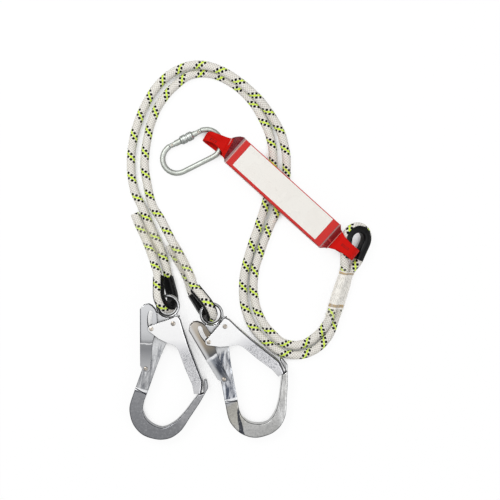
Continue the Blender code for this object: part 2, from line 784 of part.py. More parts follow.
def ribbon(name, path, widths, thickness):
    """A strap along a path in the frame's XZ plane. widths are triples of X, least Y and most Y, in order of X."""
    thing = curve(name, [(x, z) for x, z in path], flat=True)
    thing.data.extrude = MM / 2
    strap = meshed(thing)
    for vertex in strap.data.vertices:
        x, z, side = vertex.co.x / MM, vertex.co.y / MM, vertex.co.z
        low, high = width_at(widths, x)
        vertex.co = Vector((x, high if side > 0 else low, z)) * MM
    solid = strap.modifiers.new("thickness", "SOLIDIFY")
    solid.thickness = thickness * MM
    solid.offset = 0.0
    solid.use_even_offset = True
    return strap


def width_at(widths, x):
    """How far the strap reaches to each side at this X."""
    if x <= widths[0][0]:
        return widths[0][1:]
    for (start, *first), (end, *second) in zip(widths, widths[1:]):
        if x <= end:
            share = (x - start) / (end - start)
            return [a + (b - a) * share for a, b in zip(first, second)]
    return widths[-1][1:]


def folded_path():
    """The tear webbing's folds, layer on layer."""
    half, turn = PACK_LENGTH / 2 - WEB_PITCH / 2 - WEB_THICKNESS / 2, WEB_PITCH / 2
    height = WEB_PITCH * (WEB_LAYERS - 1)
    points = [(-half, -height / 2)]
    for layer in range(WEB_LAYERS - 1):
        side = 1 if layer % 2 == 0 else -1
        level = -height / 2 + WEB_PITCH * (layer + 0.5)
        bow = arc((0, level), turn, -90, 90, 4)
        points += [(side * (half + x), z) for x, z in bow]
    points.append((half if (WEB_LAYERS - 1) % 2 == 0 else -half, height / 2))
    return points


def loop_path(fold, half, spread):
    """A loop's path in its own XZ plane, from the pack's end at the origin out to the fold: a round end, and two
    straps drawn together. They are fully apart from spread on."""
    radius = half + LOOP_STRAP / 2
    bow = arc((fold[0] - radius, fold[1]), radius, 90, -90, 10)
    near, flat, steps = (LOOP_STRAP + GAP) / 2, 1.0, 6
    top, low = [(0, near)], [(0, -near)]
    for i in range(steps + 1):
        share = (1 - math.cos(math.pi * i / steps)) / 2
        x = flat + (spread - flat) * i / steps
        top.append((x, near + (fold[1] + radius - near) * share))
        low.append((x, -near + (fold[1] - radius + near) * share))
    top.append(bow[0])
    low = [bow[-1], *reversed(low)]
    return [tuple(point) for point in (*top, *bow[1:-1], *low)]


def rounded_ring(along, width, height, side, level, skew=0.0):
    """A rectangle with round corners across the pack."""
    corner = 1.0
    ring = []
    for sy, sz, start in ((1, 1, 0), (-1, 1, 90), (-1, -1, 180), (1, -1, 270)):
        centre = (side + sy * (width / 2 - corner), level + sz * (height / 2 - corner))
        ring += [(along - skew * y, y, z) for y, z in arc(centre, corner, start, start + 90, 4)]
    return ring


def heading_frame(origin, end):
    """A frame at origin whose +X points to end on the floor plan, with +Z up."""
    ahead = Vector((end[0] - origin[0], end[1] - origin[1], 0)).normalized()
    side = Vector((0, 0, 1)).cross(ahead)
    rotation = Matrix((ahead, side, Vector((0, 0, 1)))).transposed().to_4x4()
    return Matrix.Translation(Vector(origin) * MM) @ rotation


def absorber(frame, parent, looks):
    layers = WEB_PITCH * (WEB_LAYERS - 1) + WEB_THICKNESS
    widths = [(0, -WEB_WIDTH / 2, WEB_WIDTH / 2)]
    webbing = ribbon("tear_webbing", folded_path(), widths, WEB_THICKNESS)
    add(webbing, frame, parent, looks["webbing"])
    top = layers / 2 + GAP
    low = (-LABEL_LENGTH / 2, LABEL_SHIFT - LABEL_WIDTH / 2, top)
    high = (LABEL_LENGTH / 2, LABEL_SHIFT + LABEL_WIDTH / 2, top + PAPER)
    add(block("absorber_label", low, high), frame, parent, looks["label"])
    wide, tall = WEB_WIDTH + 3 * GAP, layers + PAPER + 3 * GAP
    half, level = PACK_LENGTH / 2, (PAPER + GAP) / 2
    rings = [
        rounded_ring(-half - FRONT_FILM, wide * 0.88, FRONT_MOUTH, -1.5, -3, 0.31),
        rounded_ring(-half - 0.6, wide, tall, 0, level),
        rounded_ring(half + 0.6, wide, tall, 0, level),
        rounded_ring(half + REAR_FILM, wide * 0.84, REAR_MOUTH, 0.8, 0),
    ]
    add(loft("absorber_cover", rings, FILM, even=False), frame, parent, looks["film"])
    loops = ("front", -1, FRONT_LOOP, FRONT_LOOP_HALF), ("rear", 1, REAR_LOOP, REAR_LOOP_HALF)
    for label, side, places, opening in loops:
        off, across = places[0]
        start = point_in(frame, (side * (half + off), across, 0))
        loop(label, start, places, opening, parent, looks)


def loop(label, start, places, half, parent, looks):
    """One of the absorber's end loops, from the pack out to its fold, with the bar tack near the fold."""
    x, y, level = start
    _, (fold_x, fold_y), fold_height, spread, corner = places
    frame = heading_frame((x, y, level), (fold_x, fold_y))
    reach = math.hypot(fold_x - x, fold_y - y) - LOOP_STRAP / 2
    radius = half + LOOP_STRAP / 2
    fold = (reach, fold_height - level)
    wide, narrow = LOOP_WIDTH / 2, LOOP_FOLD_WIDTH / 2
    widths = [
        (0, -wide, wide),
        (reach - 1.3 * radius, -narrow, narrow),
        (reach - 0.9 * radius, -corner - 2 * (narrow - corner) / narrow, narrow),
        (reach, -corner, narrow),
    ]
    strap = ribbon(label + "_loop", loop_path(fold, half, spread), widths, LOOP_STRAP)
    add(strap, frame, parent, looks["webbing"])
    rise = fold[1] + radius + LOOP_STRAP / 2 + GAP + THREAD_DIAMETER / 2
    start = reach - radius
    stations = [((start - 1.1 * i, -5, rise), (start - 1.1 * i, 5, rise)) for i in range(7)]
    if start - 7.7 < spread:
        stations = [((start - 0.9 * i, -5, rise), (start - 0.9 * i, 5, rise)) for i in range(5)]
    add(zigzag(label + "_stitching", stations, THREAD_DIAMETER), frame, parent, looks["thread"])


# The rope's routes, as centre-line points on and above the floor

LEFT_STANDING = [(-148, 93.5, 7.3), (-140, 75, 7.4), (-131.5, 56.5, 7.4), (-124.5, 38, 7.4), (-119.5, 21, 7.6)]
LEFT_TAIL = [(-163.5, 96.5, 7.4), (-156.5, 80, 7.5), (-147, 59.5, 8.6), (-138.5, 38.5, 15.5), (-132.5, 21, 23.5)]
RIGHT_STANDING = [(-114.5, 65.5, 15.5), (-109, 55.5, 18), (-98.5, 37, 18.5), (-90.5, 21.5, 20.5), (-84, 7.5, 25)]
RIGHT_TAIL = [(-115, 53, 7.2), (-103, 32, 7.2), (-94.3, 16.5, 7.2), (-87.8, 1.5, 7.2)]
PAIR_LEFT = [(128.7, 18.4, 17), (120.6, -7.2, 17), (112.6, -32.7, 17), (107.9, -48.2, 16.8)]
PAIR_RIGHT = [(136.6, 15.9, 7.9), (128.5, -9.7, 7.9), (120.5, -35.2, 7.9), (115.9, -50.7, 7.8)]
RIGHT_LEG = [
    (108, -73, 6.25),
    (91, -91.5, 6.25),
    (68, -100.5, 6.25),
    (43, -97.6, 6.25),
    (18.5, -80.5, 6.25),
    (0, -58.5, 6.25),
    (-9.5, -34, 6.25),
    (-11.5, 5, 6.25),
    (-2, 46, 6.25),
    (10, 81, 6.25),
    (19, 109, 6.25),
    (27, 140, 6.25),
    (30, 172, 6.25),
    (26, 202, 6.25),
    (14, 231, 6.25),
    (-3, 257, 6.25),
    (-29, 279.5, 6.25),
    (-57, 291.5, 6.25),
    (-85, 290, 6.25),
    (-108, 274, 6.25),
    (-127, 252, 6.25),
    (-140, 224, 6.25),
    (-147, 193, 6.25),
    (-149.5, 165, 6.25),
    (-145, 134, 6.25),
    (-138, 107, 6.3),
    (-127, 89.5, 8.5),
]
LEFT_LEG = [
    (101.5, -61, 11.5),
    (92, -72, 7),
    (77, -83, 6.25),
    (60, -87, 6.25),
    (42, -82.5, 6.25),
    (28.5, -71, 6.25),
    (15.5, -55, 6.25),
    (6.5, -34, 6.25),
    (2.5, -10, 6.25),
    (4.5, 18, 6.25),
    (13, 46, 6.25),
    (24, 76, 6.25),
    (34.5, 100, 6.25),
    (43, 126, 6.25),
    (48.5, 155, 6.25),
    (47, 185, 6.25),
    (39.5, 212, 6.25),
    (28, 232, 8),
    (12, 253, 15),
    (-7, 271, 18.5),
    (-30, 288, 19),
    (-55, 299.5, 18.5),
    (-79, 303, 15.5),
    (-103, 297, 9),
    (-126, 281, 6.25),
    (-142, 260, 6.25),
    (-155, 234, 6.25),
    (-165, 201, 6.25),
    (-168.5, 165, 6.25),
    (-164, 130, 6.25),
    (-151, 101, 6.9),
]
LEG_STEP = 22.0
EYE_STEP = 9.0
END_STEP = 3.0


def heading(before, here, after):
    """The direction of the smooth curve at a point, from its neighbours."""
    before, here, after = Vector(before), Vector(here), Vector(after)
    near, far = (here - before).length, (after - here).length
    return ((here - before) / near * far + (after - here) / far * near).normalized()


def free_leg(name, before, leg, after, looks):
    """One free leg. Its ends face the covered stretches before and after it, square to the rope."""
    whole = smooth([*before, *leg, *after], LEG_STEP)
    first = min(range(len(whole)), key=lambda i: (whole[i] - Vector(before[-1])).length)
    last = min(range(len(whole)), key=lambda i: (whole[i] - Vector(leg[-1])).length)
    out = heading(before[-2], before[-1], leg[0])
    back = heading(leg[-2], leg[-1], after[0])
    start, end = whole[first], whole[last]
    stretch = [
        start + out * GAP, start + out * END_STEP, *whole[first + 1 : last], end - back * END_STEP, end - back * GAP
    ]
    add(tube(name, stretch, ROPE_DIAMETER), Matrix.Identity(4), None, looks["rope"])
    length = sum((b - a).length for a, b in zip(stretch, stretch[1:]))
    print(f"{name}: {len(stretch)} points, {length:.0f} mm")


def rope_eye(name, before, frame, after, flip, looks, ends):
    """Rope round a thimble: in along one line, round the groove and out along the other. ends gives the rope's
    direction where it meets a free leg. Returns the two straight parts, each from the thimble's mouth outwards."""
    groove = [point_in(frame, point) for point in thimble_line()]
    if flip:
        groove.reverse()
    points = smooth([*before, *groove, *after], EYE_STEP)
    mouths = [min(range(len(points)), key=lambda i: (points[i] - end).length) for end in (groove[0], groove[-1])]
    lines = list(reversed(points[: mouths[0] + 1])), points[mouths[1] :]
    if ends[0]:
        points.insert(1, points[0] + ends[0] * END_STEP)
    if ends[1]:
        points.insert(-1, points[-1] - ends[1] * END_STEP)
    add(tube(name, points, ROPE_DIAMETER), Matrix.Identity(4), None, looks["rope"])
    return lines


def stations(line, start, end, count):
    """Points along a line, from one distance from its start to another."""
    marks, found, passed = [start + (end - start) * i / (count - 1) for i in range(count)], [], 0.0
    for a, b in zip(line, line[1:]):
        length = (b - a).length
        while marks and marks[0] <= passed + length + 1e-6:
            found.append(a.lerp(b, (marks.pop(0) - passed) / length))
        passed += length
    return found


def splice(side, lines, start, end, sewn, looks, label=None):
    """The clear cover over two ropes that lie side by side, and the stitches in the valley between them."""
    snug = ROPE_DIAMETER / 2 + GAP
    first, second = (stations(line, start, end, 8) for line in lines)
    extra = 2 * GAP + PAPER if label else GAP
    cover = loft(side + "_splice_cover", paired(first, second, snug + extra), COVER_WALL)
    add(cover, Matrix.Identity(4), None, looks["clear"])
    pair = [stations(line, *sewn, 12) for line in lines]
    rise = (snug + ROPE_DIAMETER / 2 - 1.2) / 2 - THREAD_DIAMETER / 2
    add(splice_thread(side + "_splice_stitching", *pair, rise), Matrix.Identity(4), None, looks["thread"])
    if label:
        first, second = (stations(line, *label, 8) for line in lines)
        add(loft("splice_label", paired(first, second, snug + GAP), PAPER), Matrix.Identity(4), None, looks["label"])


def main():
    clear_scene()
    metal = {
        "alloy": finish("alloy", (0.66, 0.67, 0.69), 0.38, 0.85),
        "zinc": finish("zinc", (0.78, 0.78, 0.79), 0.34, 0.8),
        "rivet": finish("rivet", (0.55, 0.5, 0.44), 0.4, 0.8),
        "spring": finish("spring", (0.5, 0.5, 0.5), 0.35, 0.9),
        "steel": finish("steel", (0.72, 0.72, 0.72), 0.28, 0.95),
    }
    looks = {
        "rope": finish("rope", (0.77, 0.74, 0.66), 0.8),
        "plastic": finish("plastic", (0.012, 0.012, 0.014), 0.25),
        "clear": finish("clear", (0.75, 0.68, 0.45), 0.2, 0.0, 0.4),
        "film": finish("film", (0.9, 0.7, 0.68), 0.15, 0.0, 0.3),
        "webbing": finish("webbing", (0.63, 0.012, 0.004), 0.7),
        "label": finish("label", (0.84, 0.82, 0.79), 0.5),
        "thread": finish("thread", (0.75, 0.72, 0.66), 0.7),
    }
    identity = Matrix.Identity(4)
    reach = EYE_CENTRE[1] - HOOK_BOTTOM
    lying = HOOK_THICKNESS / 2 + 0.1
    left = standing((-108.3, -54.8), 0, 23.3, lying, reach)
    right = standing((-37.4, -58.5), 30.3, 27.0, lying, reach)
    left_crown = point_in(left, (EYE_CENTRE[0] - 0.6, EYE_CENTRE[1] - 3.8, 3))
    right_crown = point_in(right, (EYE_CENTRE[0] - 1.0, EYE_CENTRE[1] - 4.0, 2.4))
    frames = {
        "left": thimble_frame(left_crown, (0.144, -0.99), 10.5, 58, -1),
        "right": thimble_frame(right_crown, (0.587, -0.81), 11.8, 69, 1),
        "absorber": thimble_frame((149.4, 78.1, 18.4), (0.236, 0.972), 4.3, 30, 1),
    }
    hook("left", left, frames["left"], metal)
    hook("right", right, frames["right"], metal)
    for side, frame in frames.items():
        thimble(side + "_thimble", frame, None, looks["plastic"])

    start_left = heading(PAIR_LEFT[-2], PAIR_LEFT[-1], LEFT_LEG[0])
    start_right = heading(PAIR_RIGHT[-2], PAIR_RIGHT[-1], RIGHT_LEG[0])
    end_left = heading(LEFT_LEG[-2], LEFT_LEG[-1], LEFT_STANDING[0])
    end_right = heading(RIGHT_LEG[-2], RIGHT_LEG[-1], RIGHT_STANDING[0])
    left_in, right_in = [LEFT_LEG[-1], *LEFT_STANDING], [RIGHT_LEG[-1], *RIGHT_STANDING]
    left_lines = rope_eye("left_rope_eye", left_in, frames["left"], LEFT_TAIL[::-1], False, looks, (end_left, None))
    right_lines = rope_eye(
        "right_rope_eye", right_in, frames["right"], RIGHT_TAIL[::-1], True, looks, (end_right, None)
    )
    bight = PAIR_RIGHT[::-1], frames["absorber"], PAIR_LEFT
    pair_lines = rope_eye("rope_bight", *bight, False, looks, (-start_right, start_left))
    free_leg("left_leg", PAIR_LEFT, LEFT_LEG, LEFT_STANDING, looks)
    free_leg("right_leg", PAIR_RIGHT, RIGHT_LEG, RIGHT_STANDING, looks)
    splice("left", left_lines, 27, 84, (34, 78), looks)
    splice("right", right_lines, 10, 67, (26, 62), looks)
    splice("absorber", pair_lines, 15, 84, (26, 78), looks, (24, 73))

    tilt = math.radians(-2.3)
    bar = Matrix.Translation(Vector((-44.886, 202.727, 8.49)) * MM) @ Matrix.Rotation(math.radians(26.5), 4, "Z")
    far_end = Matrix.Translation(Vector((-CARABINER_STRAIGHT / 2 - CARABINER_BEND, 0, 0)) * MM)
    bar = bar @ Matrix.Rotation(tilt, 4, "Y") @ far_end
    crossing = Matrix.Translation(Vector((-43.6, 191.5, 8.2)) * MM)
    carabiner(bar, empty("carabiner_joint", crossing), metal["steel"], metal["spring"])
    pack = Matrix.Translation(Vector((41.93, 124.45, 25.05)) * MM)
    pack = pack @ Matrix.Rotation(math.atan2(-0.671, 0.742), 4, "Z")
    limb = Matrix.Translation(limb_point(frames["absorber"], 36, 1) * MM)
    absorber(pack, empty("absorber_joint", limb), looks)

    bpy.context.view_layer.update()


main()
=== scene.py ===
"""The looks of a twin shock-absorbing lanyard: rope, webbing, film, plastic and metal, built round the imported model.
Lengths below are in millimetres, and MM turns them into metres."""

import json
import math

import bmesh
import bpy
from mathutils import Matrix, Vector, noise

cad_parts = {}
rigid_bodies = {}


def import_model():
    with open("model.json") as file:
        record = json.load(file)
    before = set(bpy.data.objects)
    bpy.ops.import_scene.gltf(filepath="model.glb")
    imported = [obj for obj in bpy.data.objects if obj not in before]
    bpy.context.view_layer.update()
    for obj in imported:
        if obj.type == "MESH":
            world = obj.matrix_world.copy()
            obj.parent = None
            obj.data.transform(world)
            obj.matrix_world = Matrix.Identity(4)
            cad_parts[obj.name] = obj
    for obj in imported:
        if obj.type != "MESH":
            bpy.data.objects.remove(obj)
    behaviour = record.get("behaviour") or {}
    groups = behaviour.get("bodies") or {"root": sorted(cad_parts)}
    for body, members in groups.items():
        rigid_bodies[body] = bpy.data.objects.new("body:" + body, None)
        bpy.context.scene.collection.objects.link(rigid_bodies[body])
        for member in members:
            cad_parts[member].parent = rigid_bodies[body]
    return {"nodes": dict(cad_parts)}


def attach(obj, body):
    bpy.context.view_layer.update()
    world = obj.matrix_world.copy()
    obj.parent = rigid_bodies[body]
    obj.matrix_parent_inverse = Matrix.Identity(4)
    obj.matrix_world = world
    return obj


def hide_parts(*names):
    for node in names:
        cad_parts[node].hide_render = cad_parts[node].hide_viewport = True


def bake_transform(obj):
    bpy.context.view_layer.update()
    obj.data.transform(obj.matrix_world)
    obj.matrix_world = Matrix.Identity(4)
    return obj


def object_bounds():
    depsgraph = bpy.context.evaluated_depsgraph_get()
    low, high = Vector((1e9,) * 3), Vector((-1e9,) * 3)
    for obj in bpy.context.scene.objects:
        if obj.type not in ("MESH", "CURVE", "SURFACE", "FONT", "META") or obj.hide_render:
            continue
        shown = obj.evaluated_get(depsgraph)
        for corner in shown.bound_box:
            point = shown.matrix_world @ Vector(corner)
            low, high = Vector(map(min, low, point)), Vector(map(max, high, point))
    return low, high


MM = 0.001
HOME = Vector((1.38, 0.19, -0.18))  # from the floor plan, on which the routes are written, to the row frame
GAP = 0.3  # between pieces that touch
FLAT = 0.5  # degrees between faces that are dissolved into one

ROPE_DIAMETER = 12.0
ROPE_STEP = 1.2
ROPE_SIDES = 40
BRAID_PITCH = 29.5  # of one turn of a strand
BRAID_RELIEF = 0.28
BRAID_MIDDLE = 0.85  # the share of the relief that lies within the rope's radius
STRANDS = 8  # to each hand
LYING = 6.25  # the height of a rope's middle on the floor
COVER_WALL = 0.6
FLOOR_DROP = 0.2  # of the floor, under the CAD's lowest point

THIMBLE_CROWN = 18.0
THIMBLE_LENGTH = 47.0
THIMBLE_MOUTH = 24.0

EYE_CENTRE = (-7.6, 23.2)
HOOK_THICKNESS = 15.0
HOOK_BOTTOM = -163.2
SPINE_THICKNESS = 11.2
SHEET = 1.8

PACK_LENGTH = 176.0
PACK_CENTRE = (41.93, 124.45, 25.05)
WEB_WIDTH = 42.0
WEB_THICKNESS = 2.0
WEB_PITCH = 2.4
WEB_LAYERS = 10
PACK_HEIGHT = WEB_PITCH * (WEB_LAYERS - 1) + WEB_THICKNESS
LABEL_LENGTH = 153.0
LABEL_WIDTH = 37.7
LABEL_SHIFT = 1.15
LOOP_STRAP = 2.2
LOOP_RISE = 3.2  # of the front loop's upper strap, over the carabiner's bow

CARABINER_STRAIGHT = 46.7
CARABINER_BEND = 20.0
GATE_DIAMETER = 8.4
SLEEVE_DIAMETER = 12.6
SLEEVE_LENGTH = 19.4
SLEEVE_AT = 2.0

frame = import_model()
cad_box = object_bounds()

bpy.ops.object.camera_add(location=(-0.00107, 0.04604, 1.944), rotation=(0, 0, 0))
camera = bpy.context.object
camera.data.lens = 100
camera.data.sensor_width = 36
bpy.context.scene.camera = camera
bpy.context.scene.view_settings.view_transform = "Standard"


def place(point):
    """A point of the floor plan, in the row frame."""
    return (Vector(point) + HOME) * MM


def moved(point):
    return Matrix.Translation(Vector(point))


def spun(degrees, axis):
    return Matrix.Rotation(math.radians(degrees), 4, axis)


def framed(origin, *axes):
    """A frame from its origin and its three axes."""
    return moved(origin) @ Matrix(axes).transposed().to_4x4()


def homed(at):
    """A frame of the floor plan, in the row frame but still in millimetres."""
    return moved(HOME) @ at


def limited(value):
    return max(0.0, min(1.0, value))


# Shader sums


def sum_of(operation):
    return lambda value, *others: value.math(operation, *others)


class Value:
    """A material's socket, for use in sums."""

    def __init__(self, finish, socket):
        self.finish, self.socket = finish, socket

    def math(self, operation, *others, clamp=False):
        return self.finish.node("Math", {"operation": operation, "use_clamp": clamp}, [self, *others])

    __add__ = __radd__ = sum_of("ADD")
    __sub__ = sum_of("SUBTRACT")
    __mul__ = __rmul__ = sum_of("MULTIPLY")
    __truediv__ = sum_of("DIVIDE")
    __pow__ = sum_of("POWER")
    __mod__ = sum_of("FLOORED_MODULO")
    __lt__ = sum_of("LESS_THAN")
    __abs__ = sum_of("ABSOLUTE")
    floor = sum_of("FLOOR")
    cos = sum_of("COSINE")
    sin = sum_of("SINE")
    most = sum_of("MAXIMUM")

    def __rsub__(self, other):
        return self.finish.node("Math", {"operation": "SUBTRACT"}, [other, self])

    def clamped(self):
        return self.math("ADD", 0.0, clamp=True)

    def span(self, start, end):
        """0 up to the start and 1 from the end, smooth between. The end may be the lower one."""
        settings = {"interpolation_type": "SMOOTHSTEP"}
        return self.finish.node("MapRange", settings, {0: self, 1: start, 2: end, 3: 0.0, 4: 1.0})


class Finish:
    """One material, or a world's light, made node by node. Colours are written as a screen shows them."""

    def __init__(self, name, world=None):
        self.owner = world or bpy.data.materials.new(name)
        self.owner.use_nodes = True
        self.tree = self.owner.node_tree
        self.shader = self.tree.nodes["Background" if world else "Principled BSDF"]

    def fill(self, socket, value):
        """Links a value to a socket, or sets the socket's constant."""
        if isinstance(value, Value):
            self.tree.links.new(value.socket, socket)
        else:
            socket.default_value = srgb(value) if isinstance(value, str) else value

    def node(self, kind, settings=None, values=(), output=0):
        made = self.tree.nodes.new("ShaderNode" + kind)
        for key, value in (settings or {}).items():
            setattr(made, key, value)
        for key, value in values.items() if isinstance(values, dict) else enumerate(values):
            self.fill(made.inputs[key], value)
        return Value(self, made.outputs[output])

    def set(self, **values):
        for key, value in values.items():
            self.fill(self.shader.inputs[key.replace("_", " ")], value)
        return self

    def split(self, vector):
        made = self.node("SeparateXYZ", None, [vector])
        return [Value(self, socket) for socket in made.socket.node.outputs]

    def mix(self, share, first, second):
        return self.node("Mix", {"data_type": "RGBA"}, {0: share, 6: first, 7: second}, 2)

    def over(self, colour, *layers):
        """Layers of a share and a colour, laid over a colour in order."""
        for share, layer in layers:
            colour = self.mix(share, colour, layer)
        return colour

    def ramp(self, value, *stops):
        made = self.node("ValToRGB", None, [value])
        elements = made.socket.node.color_ramp.elements
        while len(elements) < len(stops):
            elements.new(0.5)
        for element, (at, colour) in zip(elements, stops):
            element.position, element.color = at, colour
        return made

    def tones(self, value, *stops):
        """A ramp over places in millimetres, each with its colour."""
        low, high = stops[0][0], stops[-1][0]
        share = (value - low) / (high - low)
        return self.ramp(share.clamped(), *[((at - low) / (high - low), srgb(code)) for at, code in stops])

    def spot(self):
        """A point in the piece's own space, in metres."""
        return self.node("TexCoord", output="Object")

    def turned(self, where, centre=(0, 0, 0), angles=(0, 0, 0), scale=(1, 1, 1)):
        """The point seen from a centre, with the pattern's own axes turned by these angles."""
        values = {"Vector": where, "Location": centre, "Rotation": angles, "Scale": scale}
        return self.node("Mapping", {"vector_type": "TEXTURE"}, values)

    def seen_from(self, at):
        """The point in a frame of the floor plan, in millimetres."""
        at = homed(at)
        return self.turned(self.spot(), at.translation * MM, tuple(at.to_euler()), (MM, MM, MM))

    def grain(self, scale, detail=3.0, rough=0.5, where=None):
        values = {"Vector": where or self.spot(), "Scale": scale, "Detail": detail, "Roughness": rough}
        return self.node("TexNoise", None, values)

    def shelter(self, distance, samples=6):
        """How open the surface is: 0 deep between pieces, 1 in the open."""
        return self.node("AmbientOcclusion", {"samples": samples}, {"Distance": distance}, "AO")

    def tilt(self):
        """How far up or down the surface faces."""
        return abs(self.split(self.node("NewGeometry", output="Normal"))[2])

    def bump(self, height, distance, strength):
        return self.node("Bump", None, {"Strength": strength, "Distance": distance, "Height": height})

    def metal(self, colour, painted_rim, rough, height, distance=0.0002):
        """Metal with painted shade where pieces overlap, and a painted dark reflection where it turns part way from the
        top, as polished edges would mirror a dark room.
        """
        tilt = self.tilt()
        # painted dark reflection on surfaces that lean part way from the top
        turned = tilt.span(0.2, 0.4) * tilt.span(0.97, 0.84)
        # painted shade: ambient occlusion darkens the colour where pieces overlap
        colour = self.over(colour, (turned * painted_rim, "2A2E36"), (self.shelter(0.02).span(0.82, 0.45) * 0.9, "0D0F13"))
        return self.set(Metallic=1.0, Base_Color=colour, Roughness=rough, Normal=self.bump(height, distance, 0.5))


def srgb(code):
    """A colour as a screen shows it, in the scene's linear numbers."""
    parts = [int(code[i : i + 2], 16) / 255 for i in (0, 2, 4)]
    return (*[c / 12.92 if c <= 0.04045 else ((c + 0.055) / 1.055) ** 2.4 for c in parts], 1.0)


# Pieces


def deselect():
    if bpy.context.object and bpy.context.object.mode != "OBJECT":
        bpy.ops.object.mode_set(mode="OBJECT")
    for thing in bpy.context.view_layer.objects:
        thing.select_set(False)


def choose(thing):
    deselect()
    thing.select_set(True)
    bpy.context.view_layer.objects.active = thing


class Editing:
    """Edit mode on one piece, with all of it selected at first."""

    def __init__(self, thing):
        self.thing = thing

    def __enter__(self):
        choose(self.thing)
        bpy.ops.object.mode_set(mode="EDIT")
        bpy.ops.mesh.select_all(action="SELECT")

    def __exit__(self, *_):
        bpy.ops.object.mode_set(mode="OBJECT")


def linked(name, mesh):
    thing = bpy.data.objects.new(name, mesh)
    bpy.context.scene.collection.objects.link(thing)
    return thing


def coated(thing, finish):
    """Gives a piece one finish in place of its own."""
    thing.data.materials.clear()
    thing.data.materials.append(finish.owner)


def dress(thing, finish, body, node, angle=40):
    """Gives a piece its finish, smooth shading and its body, and hides the CAD node that it stands for."""
    coated(thing, finish)
    choose(thing)
    bpy.ops.object.shade_smooth_by_angle(angle=math.radians(angle))
    deselect()
    if body:
        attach(thing, body)
    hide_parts(node)
    return thing


def applied(thing, kind, **settings):
    """Adds a modifier and applies it."""
    choose(thing)
    made = thing.modifiers.new(kind.lower(), kind)
    for key, value in settings.items():
        setattr(made, key, value)
    bpy.ops.object.modifier_apply(modifier=made.name)
    return thing


def copy_of(node, name):
    """A CAD node's mesh as a piece of its own, with its loose triangles joined."""
    thing = linked(name, frame["nodes"][node].data.copy())
    with Editing(thing):
        bpy.ops.mesh.remove_doubles(threshold=2e-6)
        bpy.ops.mesh.customdata_custom_splitnormals_clear()
    return thing


def smooth(points, step):
    """Points along a smooth curve through the given ones, which it keeps."""
    points = [Vector(point) for point in points]
    lengths = [(b - a).length for a, b in zip(points, points[1:])]
    slopes = [(points[1] - points[0]) / lengths[0]]
    for before, after, a, b, c in zip(lengths, lengths[1:], points, points[1:], points[2:]):
        slopes.append(((b - a) / before * after + (c - b) / after * before) / (before + after))
    slopes.append((points[-1] - points[-2]) / lengths[-1])
    out = [points[0]]
    for a, b, start, end, length in zip(points, points[1:], slopes, slopes[1:], lengths):
        steps = max(1, round(length / step))
        for i in range(1, steps + 1):
            t = i / steps
            early = a * (2 * t**3 - 3 * t**2 + 1) + start * length * (t**3 - 2 * t**2 + t)
            out.append(early + b * (3 * t**2 - 2 * t**3) + end * length * (t**3 - t**2))
    return out


def arc(centre, radius, start, end, steps):
    """Points on an arc, from one angle to another in degrees."""
    angles = [math.radians(start + (end - start) * i / steps) for i in range(steps + 1)]
    return [(centre[0] + radius * math.cos(a), centre[1] + radius * math.sin(a)) for a in angles]


def heading(line, i):
    """The direction of a line at one of its points."""
    return (Vector(line[min(i + 1, len(line) - 1)]) - Vector(line[max(i - 1, 0)])).normalized()


def carried(line):
    """The line's direction at each of its points, and one across it that is carried along without twist."""
    across, out = None, []
    for i in range(len(line)):
        ahead = heading(line, i)
        if across is None:
            across = ahead.cross(Vector((0, 0, 1)))
        across = (across - ahead * across.dot(ahead)).normalized()
        out.append((ahead, across))
    return out


def ways_round(ahead, across, sides):
    """Directions square to a line, evenly all the way round it."""
    up, angles = ahead.cross(across), [2 * math.pi * i / sides for i in range(sides)]
    return [across * math.cos(angle) + up * math.sin(angle) for angle in angles]


def run_along(line):
    """How far along a line each of its points is."""
    out = [0.0]
    for a, b in zip(line, line[1:]):
        out.append(out[-1] + (Vector(b) - Vector(a)).length)
    return out


def nearest(line, point):
    return min(range(len(line)), key=lambda i: (line[i] - Vector(point)).length)


def skin(name, rings, marks=None, caps=True):
    """A tube over rings of points, in metres. UV holds each ring's mark, which is its share of the rings if none is
    given, and the share of the way round."""
    count = len(rings[0])
    marks = marks or [i / (len(rings) - 1) for i in range(len(rings))]
    mesh = bpy.data.meshes.new(name)
    points = [tuple(point) for ring in rings for point in ring]
    faces, uvs = [], []
    for row in range(len(rings) - 1):
        base, top = row * count, (row + 1) * count
        for i in range(count):
            after, low, high = (i + 1) % count, i / count, (i + 1) / count
            faces.append((base + i, base + after, top + after, top + i))
            uvs += [(marks[row], low), (marks[row], high), (marks[row + 1], high), (marks[row + 1], low)]
    if caps:
        for row, order in ((0, -1), (len(rings) - 1, 1)):
            points.append(tuple(sum((Vector(point) for point in rings[row]), Vector()) / count))
            for i in range(count):
                ends = (row * count + i, row * count + (i + 1) % count)[::order]
                faces.append((*ends, len(points) - 1))
                uvs += [(marks[row], i / count)] * 3
    mesh.from_pydata(points, [], faces)
    layer = mesh.uv_layers.new(name="UVMap")
    for loop, uv in zip(layer.data, uvs):
        loop.uv = uv
    mesh.update()
    return linked(name, mesh)


def wrinkle(point, size, seed):
    """A gentle unevenness from -1 to 1 at a point in millimetres."""
    return noise.noise(Vector(point) / size + Vector((seed * 7.3, seed * 3.1, seed)))


# The places of hooks and thimbles, as in the part's source


def standing(centre, turn, eye_height):
    """The frame of a hook: turned on the floor, its eye raised and its far end resting."""
    low = HOOK_THICKNESS / 2 + 0.1
    slope = math.asin((eye_height - low) / (EYE_CENTRE[1] - HOOK_BOTTOM))
    stand = moved((*centre, low - HOOK_BOTTOM * math.sin(slope)))
    return stand @ spun(turn, "Z") @ Matrix.Rotation(slope, 4, "X")


